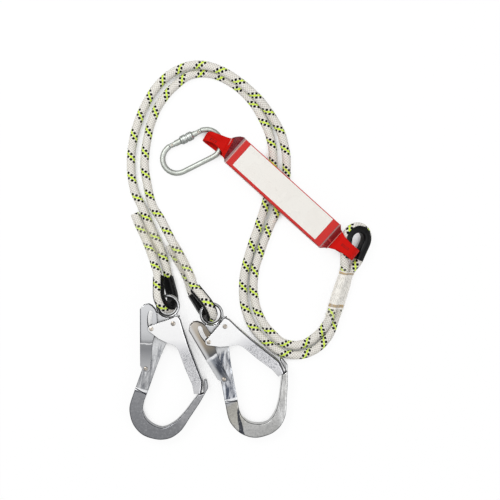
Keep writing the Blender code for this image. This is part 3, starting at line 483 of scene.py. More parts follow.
def thimble_frame(crown, towards, rise, roll, raised_side):
    """The frame of a thimble: its crown, the way it points, its rise, its roll and the side that the roll raises."""
    flat, up = Vector((*towards, 0)).normalized(), Vector((0, 0, 1))
    rise, roll = math.radians(rise), math.radians(roll)
    forward = flat * math.cos(rise) + up * math.sin(rise)
    side = up.cross(flat) * raised_side
    upward = side.cross(forward)
    if upward.z < 0:
        upward = -upward
    limb = side * math.cos(roll) + upward * math.sin(roll)
    return framed(crown, limb, forward, limb.cross(forward))


def thimble_line():
    """The rope's centre line round a thimble, from mouth to mouth, ending on the raised (+X) side."""
    rise, half = THIMBLE_LENGTH - THIMBLE_CROWN, THIMBLE_MOUTH / 2
    far = math.hypot(rise, half)
    turn = 180 - math.degrees(math.acos(THIMBLE_CROWN / far) + math.atan2(half, rise))
    crown = arc((0, -THIMBLE_CROWN), THIMBLE_CROWN, 90 + turn, 90 - turn, 14)
    start = [Vector((-half, -THIMBLE_LENGTH)).lerp(Vector(crown[0]), i / 3) for i in range(3)]
    end = [Vector(crown[-1]).lerp(Vector((half, -THIMBLE_LENGTH)), i / 3) for i in range(1, 4)]
    return [Vector((*point, 0)) for point in (*start, *crown, *end)]


HOOKS = {"left": standing((-108.3, -54.8), 0, 23.3), "right": standing((-37.4, -58.5), 30.3, 27.0)}


def in_eye(side, x, y, z):
    """A point near the middle of a hook's eye."""
    return HOOKS[side] @ Vector((EYE_CENTRE[0] + x, EYE_CENTRE[1] + y, z))


THIMBLES = {
    "left": thimble_frame(in_eye("left", -0.6, -3.8, 3), (0.144, -0.99), 10.5, 58, -1),
    "right": thimble_frame(in_eye("right", -1.0, -4.0, 2.4), (0.587, -0.81), 11.8, 69, 1),
    "absorber": thimble_frame((149.4, 78.1, 18.4), (0.236, 0.972), 4.3, 30, 1),
}


def lying(*points):
    """A route's points. Those without a height lie on the floor."""
    return [(*point, LYING)[:3] for point in points]


# The rope's routes, point for point as in the part's source

LEFT_STANDING = [(-148, 93.5, 7.3), (-140, 75, 7.4), (-131.5, 56.5, 7.4), (-124.5, 38, 7.4), (-119.5, 21, 7.6)]
LEFT_TAIL = [(-163.5, 96.5, 7.4), (-156.5, 80, 7.5), (-147, 59.5, 8.6), (-138.5, 38.5, 15.5), (-132.5, 21, 23.5)]
RIGHT_STANDING = [(-114.5, 65.5, 15.5), (-109, 55.5, 18), (-98.5, 37, 18.5), (-90.5, 21.5, 20.5), (-84, 7.5, 25)]
RIGHT_TAIL = [(-115, 53, 7.2), (-103, 32, 7.2), (-94.3, 16.5, 7.2), (-87.8, 1.5, 7.2)]
PAIR_LEFT = [(128.7, 18.4, 17), (120.6, -7.2, 17), (112.6, -32.7, 17), (107.9, -48.2, 16.8)]
PAIR_RIGHT = [(136.6, 15.9, 7.9), (128.5, -9.7, 7.9), (120.5, -35.2, 7.9), (115.9, -50.7, 7.8)]
RIGHT_LEG = lying(
    (108, -73), (91, -91.5), (68, -100.5), (43, -97.6), (18.5, -80.5), (0, -58.5), (-9.5, -34), (-11.5, 5), (-2, 46),
    (10, 81), (19, 109), (27, 140), (30, 172), (26, 202), (14, 231), (-3, 257), (-29, 279.5), (-57, 291.5), (-85, 290),
    (-108, 274), (-127, 252), (-140, 224), (-147, 193), (-149.5, 165), (-145, 134), (-138, 107, 6.3), (-127, 89.5, 8.5),
)
LEFT_LEG = lying(
    (101.5, -61, 11.5), (92, -72, 7), (77, -83), (60, -87), (42, -82.5), (28.5, -71), (15.5, -55), (6.5, -34),
    (2.5, -10), (4.5, 18), (13, 46), (24, 76), (34.5, 100), (43, 126), (48.5, 155), (47, 185), (39.5, 212),
    (28, 232, 8), (12, 253, 15), (-7, 271, 18.5), (-30, 288, 19), (-55, 299.5, 18.5), (-79, 303, 15.5),
    (-103, 297, 9), (-126, 281), (-142, 260), (-155, 234), (-165, 201), (-168.5, 165), (-164, 130), (-151, 101, 6.9),
)


def groove(side):
    """The rope's centre line round a thimble, on the floor plan."""
    return [THIMBLES[side] @ point for point in thimble_line()]


def whole_rope():
    """The rope's centre line from the right tail's end to the left tail's, in metres, and where its pieces part."""
    route = [
        *RIGHT_TAIL, *groove("right"), *RIGHT_STANDING[::-1], *RIGHT_LEG[::-1], *PAIR_RIGHT[::-1],
        *groove("absorber"), *PAIR_LEFT, *LEFT_LEG, *LEFT_STANDING, *groove("left"), *LEFT_TAIL[::-1],
    ]
    line = smooth(route, ROPE_STEP)
    marks = [nearest(line, end) for end in (RIGHT_LEG[-1], PAIR_RIGHT[-1], PAIR_LEFT[-1], LEFT_LEG[-1])]
    return [place(point) for point in line], [0, *marks, len(line) - 1]


def pillow(along, share):
    """How high the braid's crossing strands stand, from 0 in the gaps to 1."""
    turns = along / MM / BRAID_PITCH
    first, second = (STRANDS * (share + turns)) % 1, (STRANDS * (share - turns)) % 1
    return math.sin(math.pi * first) * math.sin(math.pi * second)


def braided_rope(finish):
    """The rope's five pieces, whose strands run on from one to the next."""
    line, marks = whole_rope()
    turns, run, radius = carried(line), run_along(line), ROPE_DIAMETER / 2 * MM
    names = ("right_rope_eye", "right_leg", "rope_bight", "left_leg", "left_rope_eye")
    for name, first, last in zip(names, marks, marks[1:]):
        rings = []
        for i in range(first, last + 1):
            ring = []
            for k, way in enumerate(ways_round(*turns[i], ROPE_SIDES)):
                reach = radius + BRAID_RELIEF * MM * (pillow(run[i], k / ROPE_SIDES) - BRAID_MIDDLE)
                ring.append(line[i] + way * reach)
            rings.append(ring)
        thing = dress(skin(name + "_braid", rings, run[first : last + 1]), finish, "rope_set", name)
        if name.endswith("leg"):
            path = line[first : last + 1]


# Webbing, film and label

# The absorber's frame on the floor plan: +X from the front loop to the rear loop, +Z up
PACK = moved(PACK_CENTRE) @ Matrix.Rotation(math.atan2(-0.671, 0.742), 4, "Z")

# Each loop: which end of the pack, its start past that end and across, its fold on the floor plan with its height, how
# far it takes to spread, half its opening and the length of its stitching
LOOPS = {
    "front": (-1, (3.2, -3.4), (-65.0, 205.0, 8.4), 13.0, 5.7, 9.0),
    "rear": (1, (1.55, 1.15), (143.9, 37.7, 22.3), 17.0, 11.0, 11.0),
}
# Each loop's edges: distance from the pack, least and most Y, for the upper strap and for the lower one
LOOP_EDGES = {
    "front": (
        [(0, -17, 16.5), (4, -16.4, 14.5), (7.5, -15.8, 11), (11, -14.6, 8.2), (15, -13.6, 6.3), (21, -12.4, 4.4),
         (27, -11.4, 3.6), (33, -10.2, 4.4), (37, -9.2, 5.6), (40.2, -7.6, 6.8), (41.9, -4.9, 7.6)],
        [(0, -16, 16), (7.5, -12.5, 12.5), (19.3, -9.5, 10.6), (31.7, -8.7, 9.2), (36, -5.7, 8.7), (41.9, -4.9, 8)],
    ),
    "rear": (
        [(0, -18, 18), (4, -16.8, 16.6), (8, -15.0, 14.6), (12, -12.8, 12.4), (17, -10.8, 10.6), (26, -9.2, 9.2),
         (36, -8.7, 8.7), (60, -8.7, 8.7)],
        [(0, -18, 18), (8, -14.6, 14.4), (17, -10.6, 10.4), (36, -8.7, 8.7), (60, -8.7, 8.7)],
    ),
}


def strap(name, path, widths, thickness, at, rib=0.0):
    """A woven strap along a path in the frame's XZ plane, with soft edges. widths gives least and most Y at X."""
    rings, edge, flats = [], min(thickness / 2, 1.0), 8
    for i, (x, z) in enumerate(path):
        ahead = heading(path, i)
        low, high = widths(x, i / (len(path) - 1))
        middle, half = (low + high) / 2, (high - low) / 2
        sides = [-half + edge + (2 * half - 2 * edge) * k / flats for k in range(flats + 1)]
        ring = [(y, thickness / 2 + rib * math.cos(math.pi * 3 * y / half)) for y in sides]
        ring += [(half - edge * 0.3, thickness * 0.36), (half, 0), (half - edge * 0.3, -thickness * 0.36)]
        ring += [(-y, -lift) for y, lift in ring]
        spots = [Vector((x - ahead.y * lift, middle + y, z + ahead.x * lift)) for y, lift in reversed(ring)]
        rings.append([place(at @ spot) for spot in spots])
    return skin(name, rings, [run * MM for run in run_along(path)])


def folded_path():
    """The tear webbing's folds, layer on layer, with round bows."""
    turn = WEB_PITCH / 2
    half, points = PACK_LENGTH / 2 - turn - WEB_THICKNESS / 2, []
    for layer in range(WEB_LAYERS):
        side = 1 if layer % 2 == 0 else -1
        level = -WEB_PITCH * (WEB_LAYERS - 1) / 2 + WEB_PITCH * layer
        run = [(-side * half + side * 2 * half * i / 14, level) for i in range(15)]
        points += run if layer == 0 else run[1:]
        if layer < WEB_LAYERS - 1:
            points += [(side * (half + x), z) for x, z in arc((0, level + turn), turn, -90, 90, 8)[1:]]
    return points


def loop_path(fold, half, spread):
    """A loop's path in its own XZ plane, from the pack's end at the origin out to the fold and back."""
    radius, near, flat, steps = half + LOOP_STRAP / 2, (LOOP_STRAP + GAP) / 2, 1.0, 14
    bow = arc((fold[0] - radius, fold[1]), radius, 90, -90, 24)
    lines = []
    for side, end in ((1, bow[0]), (-1, bow[-1])):
        line, level = [(0, side * near)], fold[1] + side * (radius - near)
        for i in range(steps + 1):
            share = (1 - math.cos(math.pi * i / steps)) / 2
            line.append((flat + (spread - flat) * i / steps, side * near + level * share))
        (x, z), gap = line[-1], end[0] - line[-1][0]
        line += [(x + gap * i / 6, z + (end[1] - z) * i / 6) for i in range(1, 6)]
        lines.append(line)
    return [*lines[0], *bow, *reversed(lines[1])]


def end_loop(label, finish, thread):
    """A loop of the pack's strap, with its rows of stitches."""
    side, (off, aside), fold, spread, opening, sewn = LOOPS[label]
    start, up = PACK @ Vector((side * (PACK_LENGTH / 2 + off), aside, 0)), Vector((0, 0, 1))
    ahead = Vector((fold[0] - start.x, fold[1] - start.y, 0)).normalized()
    at = framed(start, ahead, up.cross(ahead), up)
    reach = math.hypot(fold[0] - start.x, fold[1] - start.y) - LOOP_STRAP / 2
    level = fold[2] - start.z

    def widths(x, share):
        table = LOOP_EDGES[label][0 if share < 0.5 else 1]
        for (start, *first), (end, *second) in zip(table, table[1:]):
            if x <= end:
                t = max(0.0, x - start) / (end - start)
                return [a + (b - a) * t for a, b in zip(first, second)]
        return table[-1][1:]

    thing = strap(label + "_loop_strap", loop_path((reach, level), opening, spread), widths, LOOP_STRAP, at)
    if label == "front":  # the upper strap rides up over the carabiner's bow
        back = homed(at).inverted()
        for vertex in thing.data.vertices:
            spot = back @ (vertex.co / MM)
            rise = limited((-1.5 - spot.y) / 4.5) * limited((spot.x - 18) / 9) * limited((spot.z - level) / 3)
            vertex.co.z += LOOP_RISE * MM * rise
    dress(thing, finish, "absorber", label + "_loop")
    near = reach - opening - LOOP_STRAP / 2 - 1.2
    stitched(label, at, near, near - sewn, level + opening + LOOP_STRAP, thread)


def stitched(label, at, near, far, top, finish):
    """Two short rows of dark stitches along the strap, sunk into its face, with a bar across each end."""
    rows = ((near, -1.1), (far, -1.1)), ((far, 1.1), (near, 1.1))
    ends = ((near, -1.8), (near, 1.8)), ((far, -1.8), (far, 1.8))
    bars = []
    for (x0, y0), (x1, y1) in (*rows, *ends):
        count = max(2, round(math.hypot(x1 - x0, y1 - y0) / 2.2))
        run = Vector((x1 - x0, y1 - y0, 0)) / count
        for i in range(count):
            first = Vector((x0, y0, top)) + run * (i + 0.12)
            lifts = [(t, 0.25 * math.sin(math.pi * t) - 0.05) for t in (0, 0.2, 0.5, 0.8, 1)]
            bars.append([first + run * t * 0.76 + Vector((0, 0, lift)) for t, lift in lifts])
    build_threads(label + "_stitches", bars, 0.5, at, finish, "absorber", label + "_stitching")


def build_threads(name, bars, thickness, at, finish, body, node):
    """Many short threads as one piece."""
    shape, sides = bmesh.new(), 6
    for points in bars:
        points, rings = [place(at @ point) for point in points], []
        for spot, turn in zip(points, carried(points)):
            rings.append([shape.verts.new(spot + way * thickness / 2 * MM) for way in ways_round(*turn, sides)])
        for ring, after in zip(rings, rings[1:]):
            for i in range(sides):
                k = (i + 1) % sides
                shape.faces.new((ring[i], ring[k], after[k], after[i]))
        shape.faces.new(rings[0][::-1])
        shape.faces.new(rings[-1])
    bmesh.ops.recalc_face_normals(shape, faces=shape.faces)
    mesh = bpy.data.meshes.new(name)
    shape.to_mesh(mesh)
    shape.free()
    dress(linked(name, mesh), finish, body, node, angle=60)


def box_ring(along, low, high, bottom, top, slant, corner):
    """A rectangle with round corners across the pack."""
    ring = []
    for y, z, start in ((high, top, 0), (low, top, 90), (low, bottom, 180), (high, bottom, 270)):
        middle = y - corner if y == high else y + corner, z - corner if z == top else z + corner
        ring += [(along - slant * b, b, c) for b, c in arc(middle, corner, start, start + 90, 8)]
    return ring


def film_cover(finish):
    """The clear sleeve: snug over the pack, welded to a loose fin along its lower side, and gathered at both mouths
    round the loops. A key holds its place along the pack, its least and most Y and Z, and its slant."""
    half, wide, tall, corner = PACK_LENGTH / 2, WEB_WIDTH / 2 + 1.5 * GAP, PACK_HEIGHT / 2 + 2 * GAP, 1.6
    film, middle = 0.3, 0.3
    low, high = middle - tall, middle + tall
    snug = -wide, wide, low, high
    keys = [
        (-half - 12.4, -13.0, 10.4, -18.8, -4.2, 0.25),
        (-half - 10.8, -14.2, 12.2, -17.6, -2.6, 0.24),
        (-half - 8.0, -16.6, 15.4, -15.8, 1.6, 0.2),
        (-half - 4.5, -19.4, 19.2, -13.6, 8.0, 0.12),
        (-half - 1.2, *snug, 0.03),
        (-half + 2, *snug, 0.0),
        (half - 2, *snug, 0.0),
        (half + 1.2, *snug, 0.0),
        (half + 4.2, -18.8, 18.6, low + 0.8, high - 1.4, 0.0),
        (half + 7.0, -16.0, 15.6, -10.4, 8.6, 0.0),
        (half + 9.0, -15.2, 14.6, -9.2, 7.0, 0.0),
    ]
    rings, marks = [], []
    for first, second in zip(keys, keys[1:]):
        steps = max(2, round((second[0] - first[0]) / 1.6))
        for i in range(steps if second is not keys[-1] else steps + 1):
            along, least, most, bottom, top, slant = (a + (b - a) * i / steps for a, b in zip(first, second))
            body, gathered = limited((half + 3 - abs(along)) / 10), limited((abs(along) - half) / 6)
            ring = []
            for x, y, z in box_ring(along, least, most, bottom, top, slant, corner):
                depth = (z - bottom) / (top - bottom)
                fin = math.exp(-(((depth - 0.42) / 0.26) ** 2)) if y < least + corner else 0.0
                out = fin * body * (3.6 + 0.7 * wrinkle((x, 0, 0), 26, 1))
                pucker = gathered * 0.25 * wrinkle((x * 0.3, y, z), 7, 2) + 0.1 * wrinkle((x, y, z), 9, 3)
                y = y - out + (0.5 if y > 0 else -0.5) * pucker
                ring.append(place(PACK @ Vector((x, y, z + pucker))))
            rings.append(ring[::-1])
            marks.append(along * MM)
    thing = skin("absorber_film_sleeve", rings, marks, caps=False)
    applied(thing, "SOLIDIFY", thickness=film * MM, offset=1.0)
    dress(thing, finish, "absorber", "absorber_cover", angle=50)


def label_sheet(finish):
    """A bare paper label that lies over the top strap, with a faint bow."""
    trimmed, paper, lift = 0.6, 0.2, 0.12
    deselect()
    bpy.ops.mesh.primitive_grid_add(x_subdivisions=60, y_subdivisions=16, size=1.0)
    thing = bpy.context.object
    thing.name = "absorber_label_sheet"
    for vertex in thing.data.vertices:
        x, y = vertex.co.x * (LABEL_LENGTH - trimmed), vertex.co.y * (LABEL_WIDTH - trimmed) + LABEL_SHIFT
        edge = min(LABEL_WIDTH / 2 - abs(y - LABEL_SHIFT), LABEL_LENGTH / 2 - abs(x))
        bow = 0.08 * wrinkle((x, y, 0), 30, 4) + 0.06 * min(1.0, edge / 4)
        vertex.co = place(PACK @ Vector((x, y, PACK_HEIGHT / 2 + GAP + lift + bow)))
    applied(thing, "SOLIDIFY", thickness=paper * MM, offset=0.0)
    dress(thing, finish, "absorber", "absorber_label")


# Splices


def stations(line, start, end, count):
    """Points along a line, from one distance from its start to another."""
    marks, found, passed = [start + (end - start) * i / (count - 1) for i in range(count)], [], 0.0
    for a, b in zip(line, line[1:]):
        length = (b - a).length
        while marks and marks[0] <= passed + length + 1e-9:
            found.append(a.lerp(b, (marks.pop(0) - passed) / length))
        passed += length
    return found


def sleeve_over(name, lines, stretch, clearance, wall, seed, rough):
    """A shrunk sleeve round two ropes that lie side by side, drawn a little into the valley between them. The stretch
    holds its start and end along both lines, and how many rings it has."""
    first, second = (stations(line, *stretch) for line in lines)
    middles = [(a + b) / 2 for a, b in zip(first, second)]
    radius, rings = ROPE_DIAMETER / 2 + clearance, []
    for i, (a, b) in enumerate(zip(first, second)):
        across = (b - a).normalized()
        upward, halves = heading(middles, i).cross(across).normalized(), []
        for centre, start in ((b, -90), (a, 90)):
            half = []
            for x, y in arc((0, 0), radius, start, start + 180, 14):
                spot = centre + across * x + upward * y
                half.append(spot + upward * (y / radius) * rough * wrinkle(spot, 7, seed))
            halves.append(half)
        (low_b, *_, top_b), (top_a, *_, low_a) = halves
        sag, over, under = min(1.2, (top_b - top_a).length * 0.1), [], []
        for k in range(1, 6):  # the two straight runs over the valley sag between the ropes
            dip = upward * sag * math.sin(math.pi * k / 6)
            over.append(top_b.lerp(top_a, k / 6) - dip)
            under.append(low_a.lerp(low_b, k / 6) + dip)
        rings.append([place(point) for point in (*halves[0], *over, *halves[1], *under)])
    thing = skin(name, rings, caps=False)
    with Editing(thing):
        bpy.ops.mesh.normals_make_consistent(inside=False)
    return applied(thing, "SOLIDIFY", thickness=wall * MM, offset=1.0)


def mouth_lines(side, before, after, step=1):
    """The two straight parts of a rope round a thimble, each from the thimble's mouth outwards. A step of -1 takes the
    groove backwards."""
    points = groove(side)[::step]
    line = smooth([*before, *points, *after], 3)
    return line[: nearest(line, points[0]) + 1][::-1], line[nearest(line, points[-1]) :]


def splice(side, lines, covered, sewn, clear, thread, clearance=2 * GAP):
    """The clear cover over a splice, and its row of threads from rope to rope."""
    cover = sleeve_over(side + "_shrink_sleeve", lines, (*covered, 30), clearance, COVER_WALL, len(side), 0.12)
    dress(cover, clear, "rope_set", side + "_splice_cover", angle=60)
    first, second = (stations(line, *sewn, 24) for line in lines)
    bars = []
    for a, b, c in zip(first, second, first[1:]):
        across = (b - a).normalized()
        upward = (c - a).normalized().cross(across).normalized()
        if upward.z < 0:
            upward = -upward
        bar = []
        for i, (reach, lift) in enumerate(((-3.2, 4.9), (-1.4, 3.0), (1.4, 3.0), (3.2, 4.9))):
            bar.append((a + b) / 2 + across * reach + upward * lift + (c - a) * 0.3 * i / 3)
        bars.append(bar)
    name, node = side + "_splice_threads", side + "_splice_stitching"
    build_threads(name, bars, 0.8, Matrix.Identity(4), thread, "rope_set", node)


def thimble(side, finish):
    """A moulded plastic channel bent round the rope's eye, with rounded lips."""
    inside, wall, lip, reach, corner = ROPE_DIAMETER / 2 + GAP, 1.8, 1.0, -2.0, 3.4
    outer, half = inside + wall, inside + lip
    edge = [(reach, half - 0.25), (reach - 0.25, half - 0.5), (reach - 0.25, inside + 0.25), (reach, inside)]
    profile = edge + arc((0, 0), inside, 90, -90, 16) + [(x, -y) for x, y in reversed(edge)]
    profile += arc((outer - corner, corner - half), corner, -90, 0, 7)
    profile += arc((outer - corner, half - corner), corner, 0, 90, 7)
    line = thimble_line()
    line[0] = line[0].lerp(line[1], 0.15)
    line[-1] = line[-1].lerp(line[-2], 0.15)
    line, rings = smooth(line, 1.5), []
    for i, here in enumerate(line):
        ahead = heading(line, i)
        ring = [here + Vector((ahead.y, -ahead.x, 0)) * x + Vector((0, 0, y)) for x, y in profile]
        rings.append([place(THIMBLES[side] @ point) for point in ring])
    thing = skin(side + "_thimble_channel", rings, caps=False)
    with Editing(thing):
        bpy.ops.mesh.select_all(action="DESELECT")
        bpy.ops.mesh.select_non_manifold()
        bpy.ops.mesh.edge_face_add()
        bpy.ops.mesh.select_all(action="SELECT")
        bpy.ops.mesh.normals_make_consistent(inside=False)
    dress(thing, finish, "rope_set", side + "_thimble", angle=45)


# Metal pieces

# The runs where a pressed channel's web turns into its plates, in the hook's frame
GATE_WEB = [(38.3, -97.9), (39.5, -90), (40, -79.9), (35.8, -68.7), (22.6, -34), (16, -13.5), (10.6, 5.5), (7.9, 9.3)]
LEVER_WEB = [(-46.1, 19.5), (-46.1, -56)]


def softened(thing, node, finish, body, voxel, passes, keep=1.0):
    """Wears a copy's corners round, as forging and tumbling leave them."""
    applied(thing, "REMESH", mode="VOXEL", voxel_size=voxel * MM)
    applied(thing, "SMOOTH", factor=0.5, iterations=passes)
    if keep < 1:
        applied(thing, "DECIMATE", ratio=keep)
    dress(thing, finish, body, node, angle=60)


def bevelled(thing, pick, width, segments):
    """Joins the faces that lie in one plane, and rounds the edges that are picked."""
    with Editing(thing):
        bpy.ops.mesh.dissolve_limited(angle_limit=math.radians(FLAT))
        bpy.ops.mesh.select_all(action="DESELECT")
        shape = bmesh.from_edit_mesh(thing.data)
        for edge in shape.edges:
            pick(edge)
        bmesh.update_edit_mesh(thing.data)
        bpy.ops.mesh.bevel(offset=width * MM, segments=segments, affect="EDGES")


def near_line(point, line, reach=0.4):
    """Whether a point of the plane is this near to a run of straight lines."""
    for a, b in zip(line, line[1:]):
        a, b = Vector(a), Vector(b)
        share = limited((point - a).dot(b - a) / (b - a).length_squared)
        if (a + (b - a) * share - point).length < reach:
            return True
    return False


def pressed(side, node, part, finish, web, level, radius):
    """A pressed channel, bent round where its web turns into its plates and turned over along its cut edges."""
    thing, inverse = copy_of(f"{side}_{node}", f"{side}_pressed_{part}"), homed(HOOKS[side]).inverted()

    def pick_bend(edge):
        ends = [inverse @ (vertex.co / MM) for vertex in edge.verts]
        flat = all(abs(abs(end.z) - level) < 0.05 for end in ends) and ends[0].z * ends[1].z > 0
        if flat and all(near_line(Vector((end.x, end.y)), web) for end in ends) and not edge.is_boundary:
            if abs(edge.calc_face_angle(0.0)) > 0.5:
                edge.select_set(True)

    def pick_sharp(edge):
        edge.select_set(edge.is_manifold and edge.is_convex and edge.calc_face_angle() > math.radians(50))

    bevelled(thing, pick_bend, radius, 4)
    bevelled(thing, pick_sharp, 0.3, 3)
    with Editing(thing):
        bpy.ops.mesh.remove_doubles(threshold=1e-7)
    dress(thing, finish, f"{side}_{part}", f"{side}_{node}")
    applied(thing, "WEIGHTED_NORMAL", keep_sharp=True)


def catmull(points, t):
    """The point at t between the middle two of four, on a curve that passes through all."""
    a, b, c, d = points
    return 0.5 * (2 * b + (c - a) * t + (2 * a - 5 * b + 4 * c - d) * t**2 + (3 * b - a - 3 * c + d) * t**3)


def curve_outline(thing, side):
    """Puts the straight runs of a forging's outline back on one smooth curve."""
    inverse = homed(HOOKS[side]).inverted()
    with Editing(thing):
        bpy.ops.mesh.dissolve_limited(angle_limit=math.radians(FLAT))
        shape = bmesh.from_edit_mesh(thing.data)
        spots = {vertex: inverse @ (vertex.co / MM) for vertex in shape.verts}
        level = {edge for edge in shape.edges if abs(spots[edge.verts[0]].z - spots[edge.verts[1]].z) < 0.02}

        def next_spot(vertex, edge):
            here, best, found = spots[vertex], 0.8, None
            ahead = (here - spots[edge.other_vert(vertex)]).normalized()
            for other in vertex.link_edges:
                if other in level and other is not edge:
                    far = spots[other.other_vert(vertex)]
                    turn = ahead.dot((far - here).normalized())
                    if turn > best:
                        best, found = turn, far
            return found

        runs = {}
        for edge in level:
            first, last = edge.verts
            before, after = next_spot(first, edge), next_spot(last, edge)
            if before and after and 3 < edge.calc_length() / MM < 25:
                runs[edge] = before, spots[first], spots[last], after
        bmesh.ops.subdivide_edges(shape, edges=list(runs), cuts=3, use_grid_fill=True)
        for vertex in shape.verts:
            if vertex in spots:
                continue
            spot = inverse @ (vertex.co / MM)
            for points in runs.values():
                run = points[2] - points[1]
                t = (spot - points[1]).dot(run) / run.length_squared
                if 0.01 < t < 0.99 and (points[1] + run * t - spot).length < 0.01:
                    vertex.co = place(HOOKS[side] @ catmull(points, t))
                    break
        bmesh.update_edit_mesh(thing.data)


def hook(side, looks):
    """One hook's body, gate, lock lever, rivets and springs."""
    node, lever_level = side + "_hook_body", SPINE_THICKNESS / 2 + SHEET + GAP
    body = copy_of(node, side + "_forged_body")
    curve_outline(body, side)
    softened(body, node, forged_finish(side), side + "_hook", 0.6, 9)
    pressed(side, "gate", "gate", gate_finish(side), GATE_WEB, lever_level + SHEET + GAP, 3.4)
    pressed(side, "lock_lever", "lever", lever_finish(side), LEVER_WEB, lever_level, 2.6)
    for name in ("gate_pivot_rivet", "gate_tail_rivet", "lever_rivet"):
        coated(frame["nodes"][f"{side}_{name}"], looks["rivet"])
    at = homed(HOOKS[side])
    for name, first, last, *ends in (  # a spring between the two pieces that it pushes apart, and its two ends
        ("gate", "hook", "gate", (7, -6, 6), (13.5, -19, 6)),
        ("lever", "lever", "hook", (-43.2, -19.5, 0), (-33.6, -19.5, 0)),
    ):
        node = f"{side}_{name}_spring"
        thing = dress(copy_of(node, f"{side}_{name}_wire"), looks["wire"], None, node)
        start, end = (tuple(at @ Vector(point) * MM) for point in ends)
        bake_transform(thing)


def turned_piece(name, profile, at):
    """A closed turned piece, drawn out ring by ring from a circle. The profile holds radius and height, in order."""
    deselect()
    (radius, height), *others = profile
    bpy.ops.mesh.primitive_circle_add(vertices=56, radius=radius * MM, location=(0, 0, height * MM))
    thing = bpy.context.object
    thing.name = name
    bpy.ops.object.transform_apply(location=True)
    with Editing(thing):
        for wide, high in others:
            bpy.ops.mesh.extrude_edges_move(TRANSFORM_OT_translate={"value": (0, 0, (high - height) * MM)})
            if wide != radius:
                share = wide / radius
                bpy.ops.transform.resize(value=(share, share, 1), center_override=(0, 0, high * MM))
            radius, height = wide, high
        bpy.ops.mesh.select_all(action="SELECT")
        bpy.ops.mesh.remove_doubles(threshold=1e-6)
        bpy.ops.mesh.normals_make_consistent(inside=False)
    thing.data.transform(Matrix.Scale(MM, 4) @ homed(at) @ Matrix.Scale(1 / MM, 4))
    return thing


def bar_frame():
    """The carabiner's own frame: +X from its hinge bend to its nose bend, +Y towards the gate."""
    nose = moved((-44.886, 202.727, 8.49)) @ spun(26.5, "Z") @ spun(-2.3, "Y")
    return nose @ moved((-CARABINER_STRAIGHT / 2 - CARABINER_BEND, 0, 0))


def carabiner(looks):
    """The carabiner's bar, gate and sleeve, and the finish of its pins, plunger and spring."""
    for node, name, body, voxel, passes in (
        ("carabiner_body", "carabiner_bar", "carabiner", 0.4, 4),
        ("carabiner_gate", "carabiner_gate_bar", "carabiner_gate", 0.35, 3),
    ):
        softened(copy_of(node, name), node, looks["steel"], body, voxel, passes, keep=0.5)
    half, outer, bore = SLEEVE_LENGTH / 2, SLEEVE_DIAMETER / 2, GATE_DIAMETER / 2 + GAP
    side = [
        (bore, half - 0.4), (bore + 0.4, half), (outer - 1.7, half), (outer - 1.3, half - 0.25),
        (outer - 1.1, half - 0.8), (outer - 0.3, half - 1.5), (outer, half - 1.9), (outer, half - 3.4),
        (outer - 0.35, half - 3.7), (outer - 0.35, half - 4.2), (outer, half - 4.5), (outer, 1.6),
        (outer - 0.25, 1.35), (outer - 0.75, 1.0), (outer - 0.8, 0.6),
    ]
    profile = side + [(x, -z) for x, z in reversed(side)]
    at = bar_frame() @ moved((SLEEVE_AT, CARABINER_BEND, 0)) @ spun(90, "Y")
    sleeve = turned_piece("carabiner_turned_sleeve", [*profile, profile[0]], at)
    dress(sleeve, looks["sleeve"], "screw_sleeve", "carabiner_screw_sleeve", angle=35)
    for name in ("hinge_pin", "latch_pin", "spring_plunger"):
        coated(frame["nodes"]["carabiner_" + name], looks["rivet"])
    coated(frame["nodes"]["carabiner_gate_spring"], looks["wire"])


# Finishes


def rope_finish():
    """White braid with one bright strand a turn, between two rows of dark dots."""
    finish = Finish("kernmantle_braid")
    along, share, _ = finish.split(finish.node("UVMap"))
    turns = along / (BRAID_PITCH * MM)
    first, second = (share + turns) * STRANDS, (share - turns) * STRANDS
    across, beside = first - first.floor() - 0.5, second - second.floor() - 0.5
    over = (first.floor() + second.floor()) % 2 < 0.5
    rise = ((across * math.pi).cos() * (beside * math.pi).cos()) ** 0.5
    ridge = ((beside + over * (across - beside)) * 4 * math.pi).sin()
    offset = abs(first % STRANDS - 4.5)
    width = (second * math.pi - math.pi / 2).cos() * 0.24 + 0.42
    bright = (width - offset).span(-0.06, 0.06)
    dot = (offset - 1.02) ** 2 + ((second - 0.5) % 2 - 1) ** 2
    dark = (0.44 - dot).span(-0.05, 0.05)
    fibre = finish.grain(900, 4, 0.6)
    pale = finish.over("D6D3CA", (fibre, "F7F5F0"), (finish.grain(60, 2) * 0.3, "DDD6C6"))
    # painted shade: the white strands darken into the gaps between them
    pale = finish.mix(rise.span(0.0, 0.6), "9A9486", pale)
    # the yellow strand has the same painted shade in its gaps
    shade = finish.mix(rise.span(0.0, 0.4), "A4BF22", finish.mix(fibre, "C3E22C", "E2F95C"))
    colour = finish.over(pale, (bright, shade), (dark, "040404"))
    height = rise + abs(ridge) * 0.16 + fibre * 0.1
    normal = finish.bump(height, 0.0003, 0.8)
    return finish.set(Base_Color=colour, Roughness=0.78, Normal=normal, Specular_IOR_Level=0.2)


def webbing_finish():
    """Woven red polyester: ribs across the strap, crossed by picks in a chevron."""
    finish, ribs, pick_length, dark = Finish("red_webbing"), 78, 0.0016, "980702"
    along, share, _ = finish.split(finish.node("UVMap"))
    column = share * ribs
    pick = (along / pick_length + abs(column % 2 - 1) * 0.5) * 2 * math.pi
    weave, rib = (pick.cos() + 1) * 0.5, abs((column * math.pi).cos())
    colour = finish.over("E81206", (weave * 0.45 + rib * 0.25, dark), (finish.grain(45) * 0.3, dark))
    height = weave * 0.5 + rib * 0.4 + finish.grain(1200, 3, 0.6) * 0.25
    normal = finish.bump(height, 0.00025, 0.7)
    return finish.set(Base_Color=colour, Roughness=0.68, Normal=normal, Specular_IOR_Level=0.12)


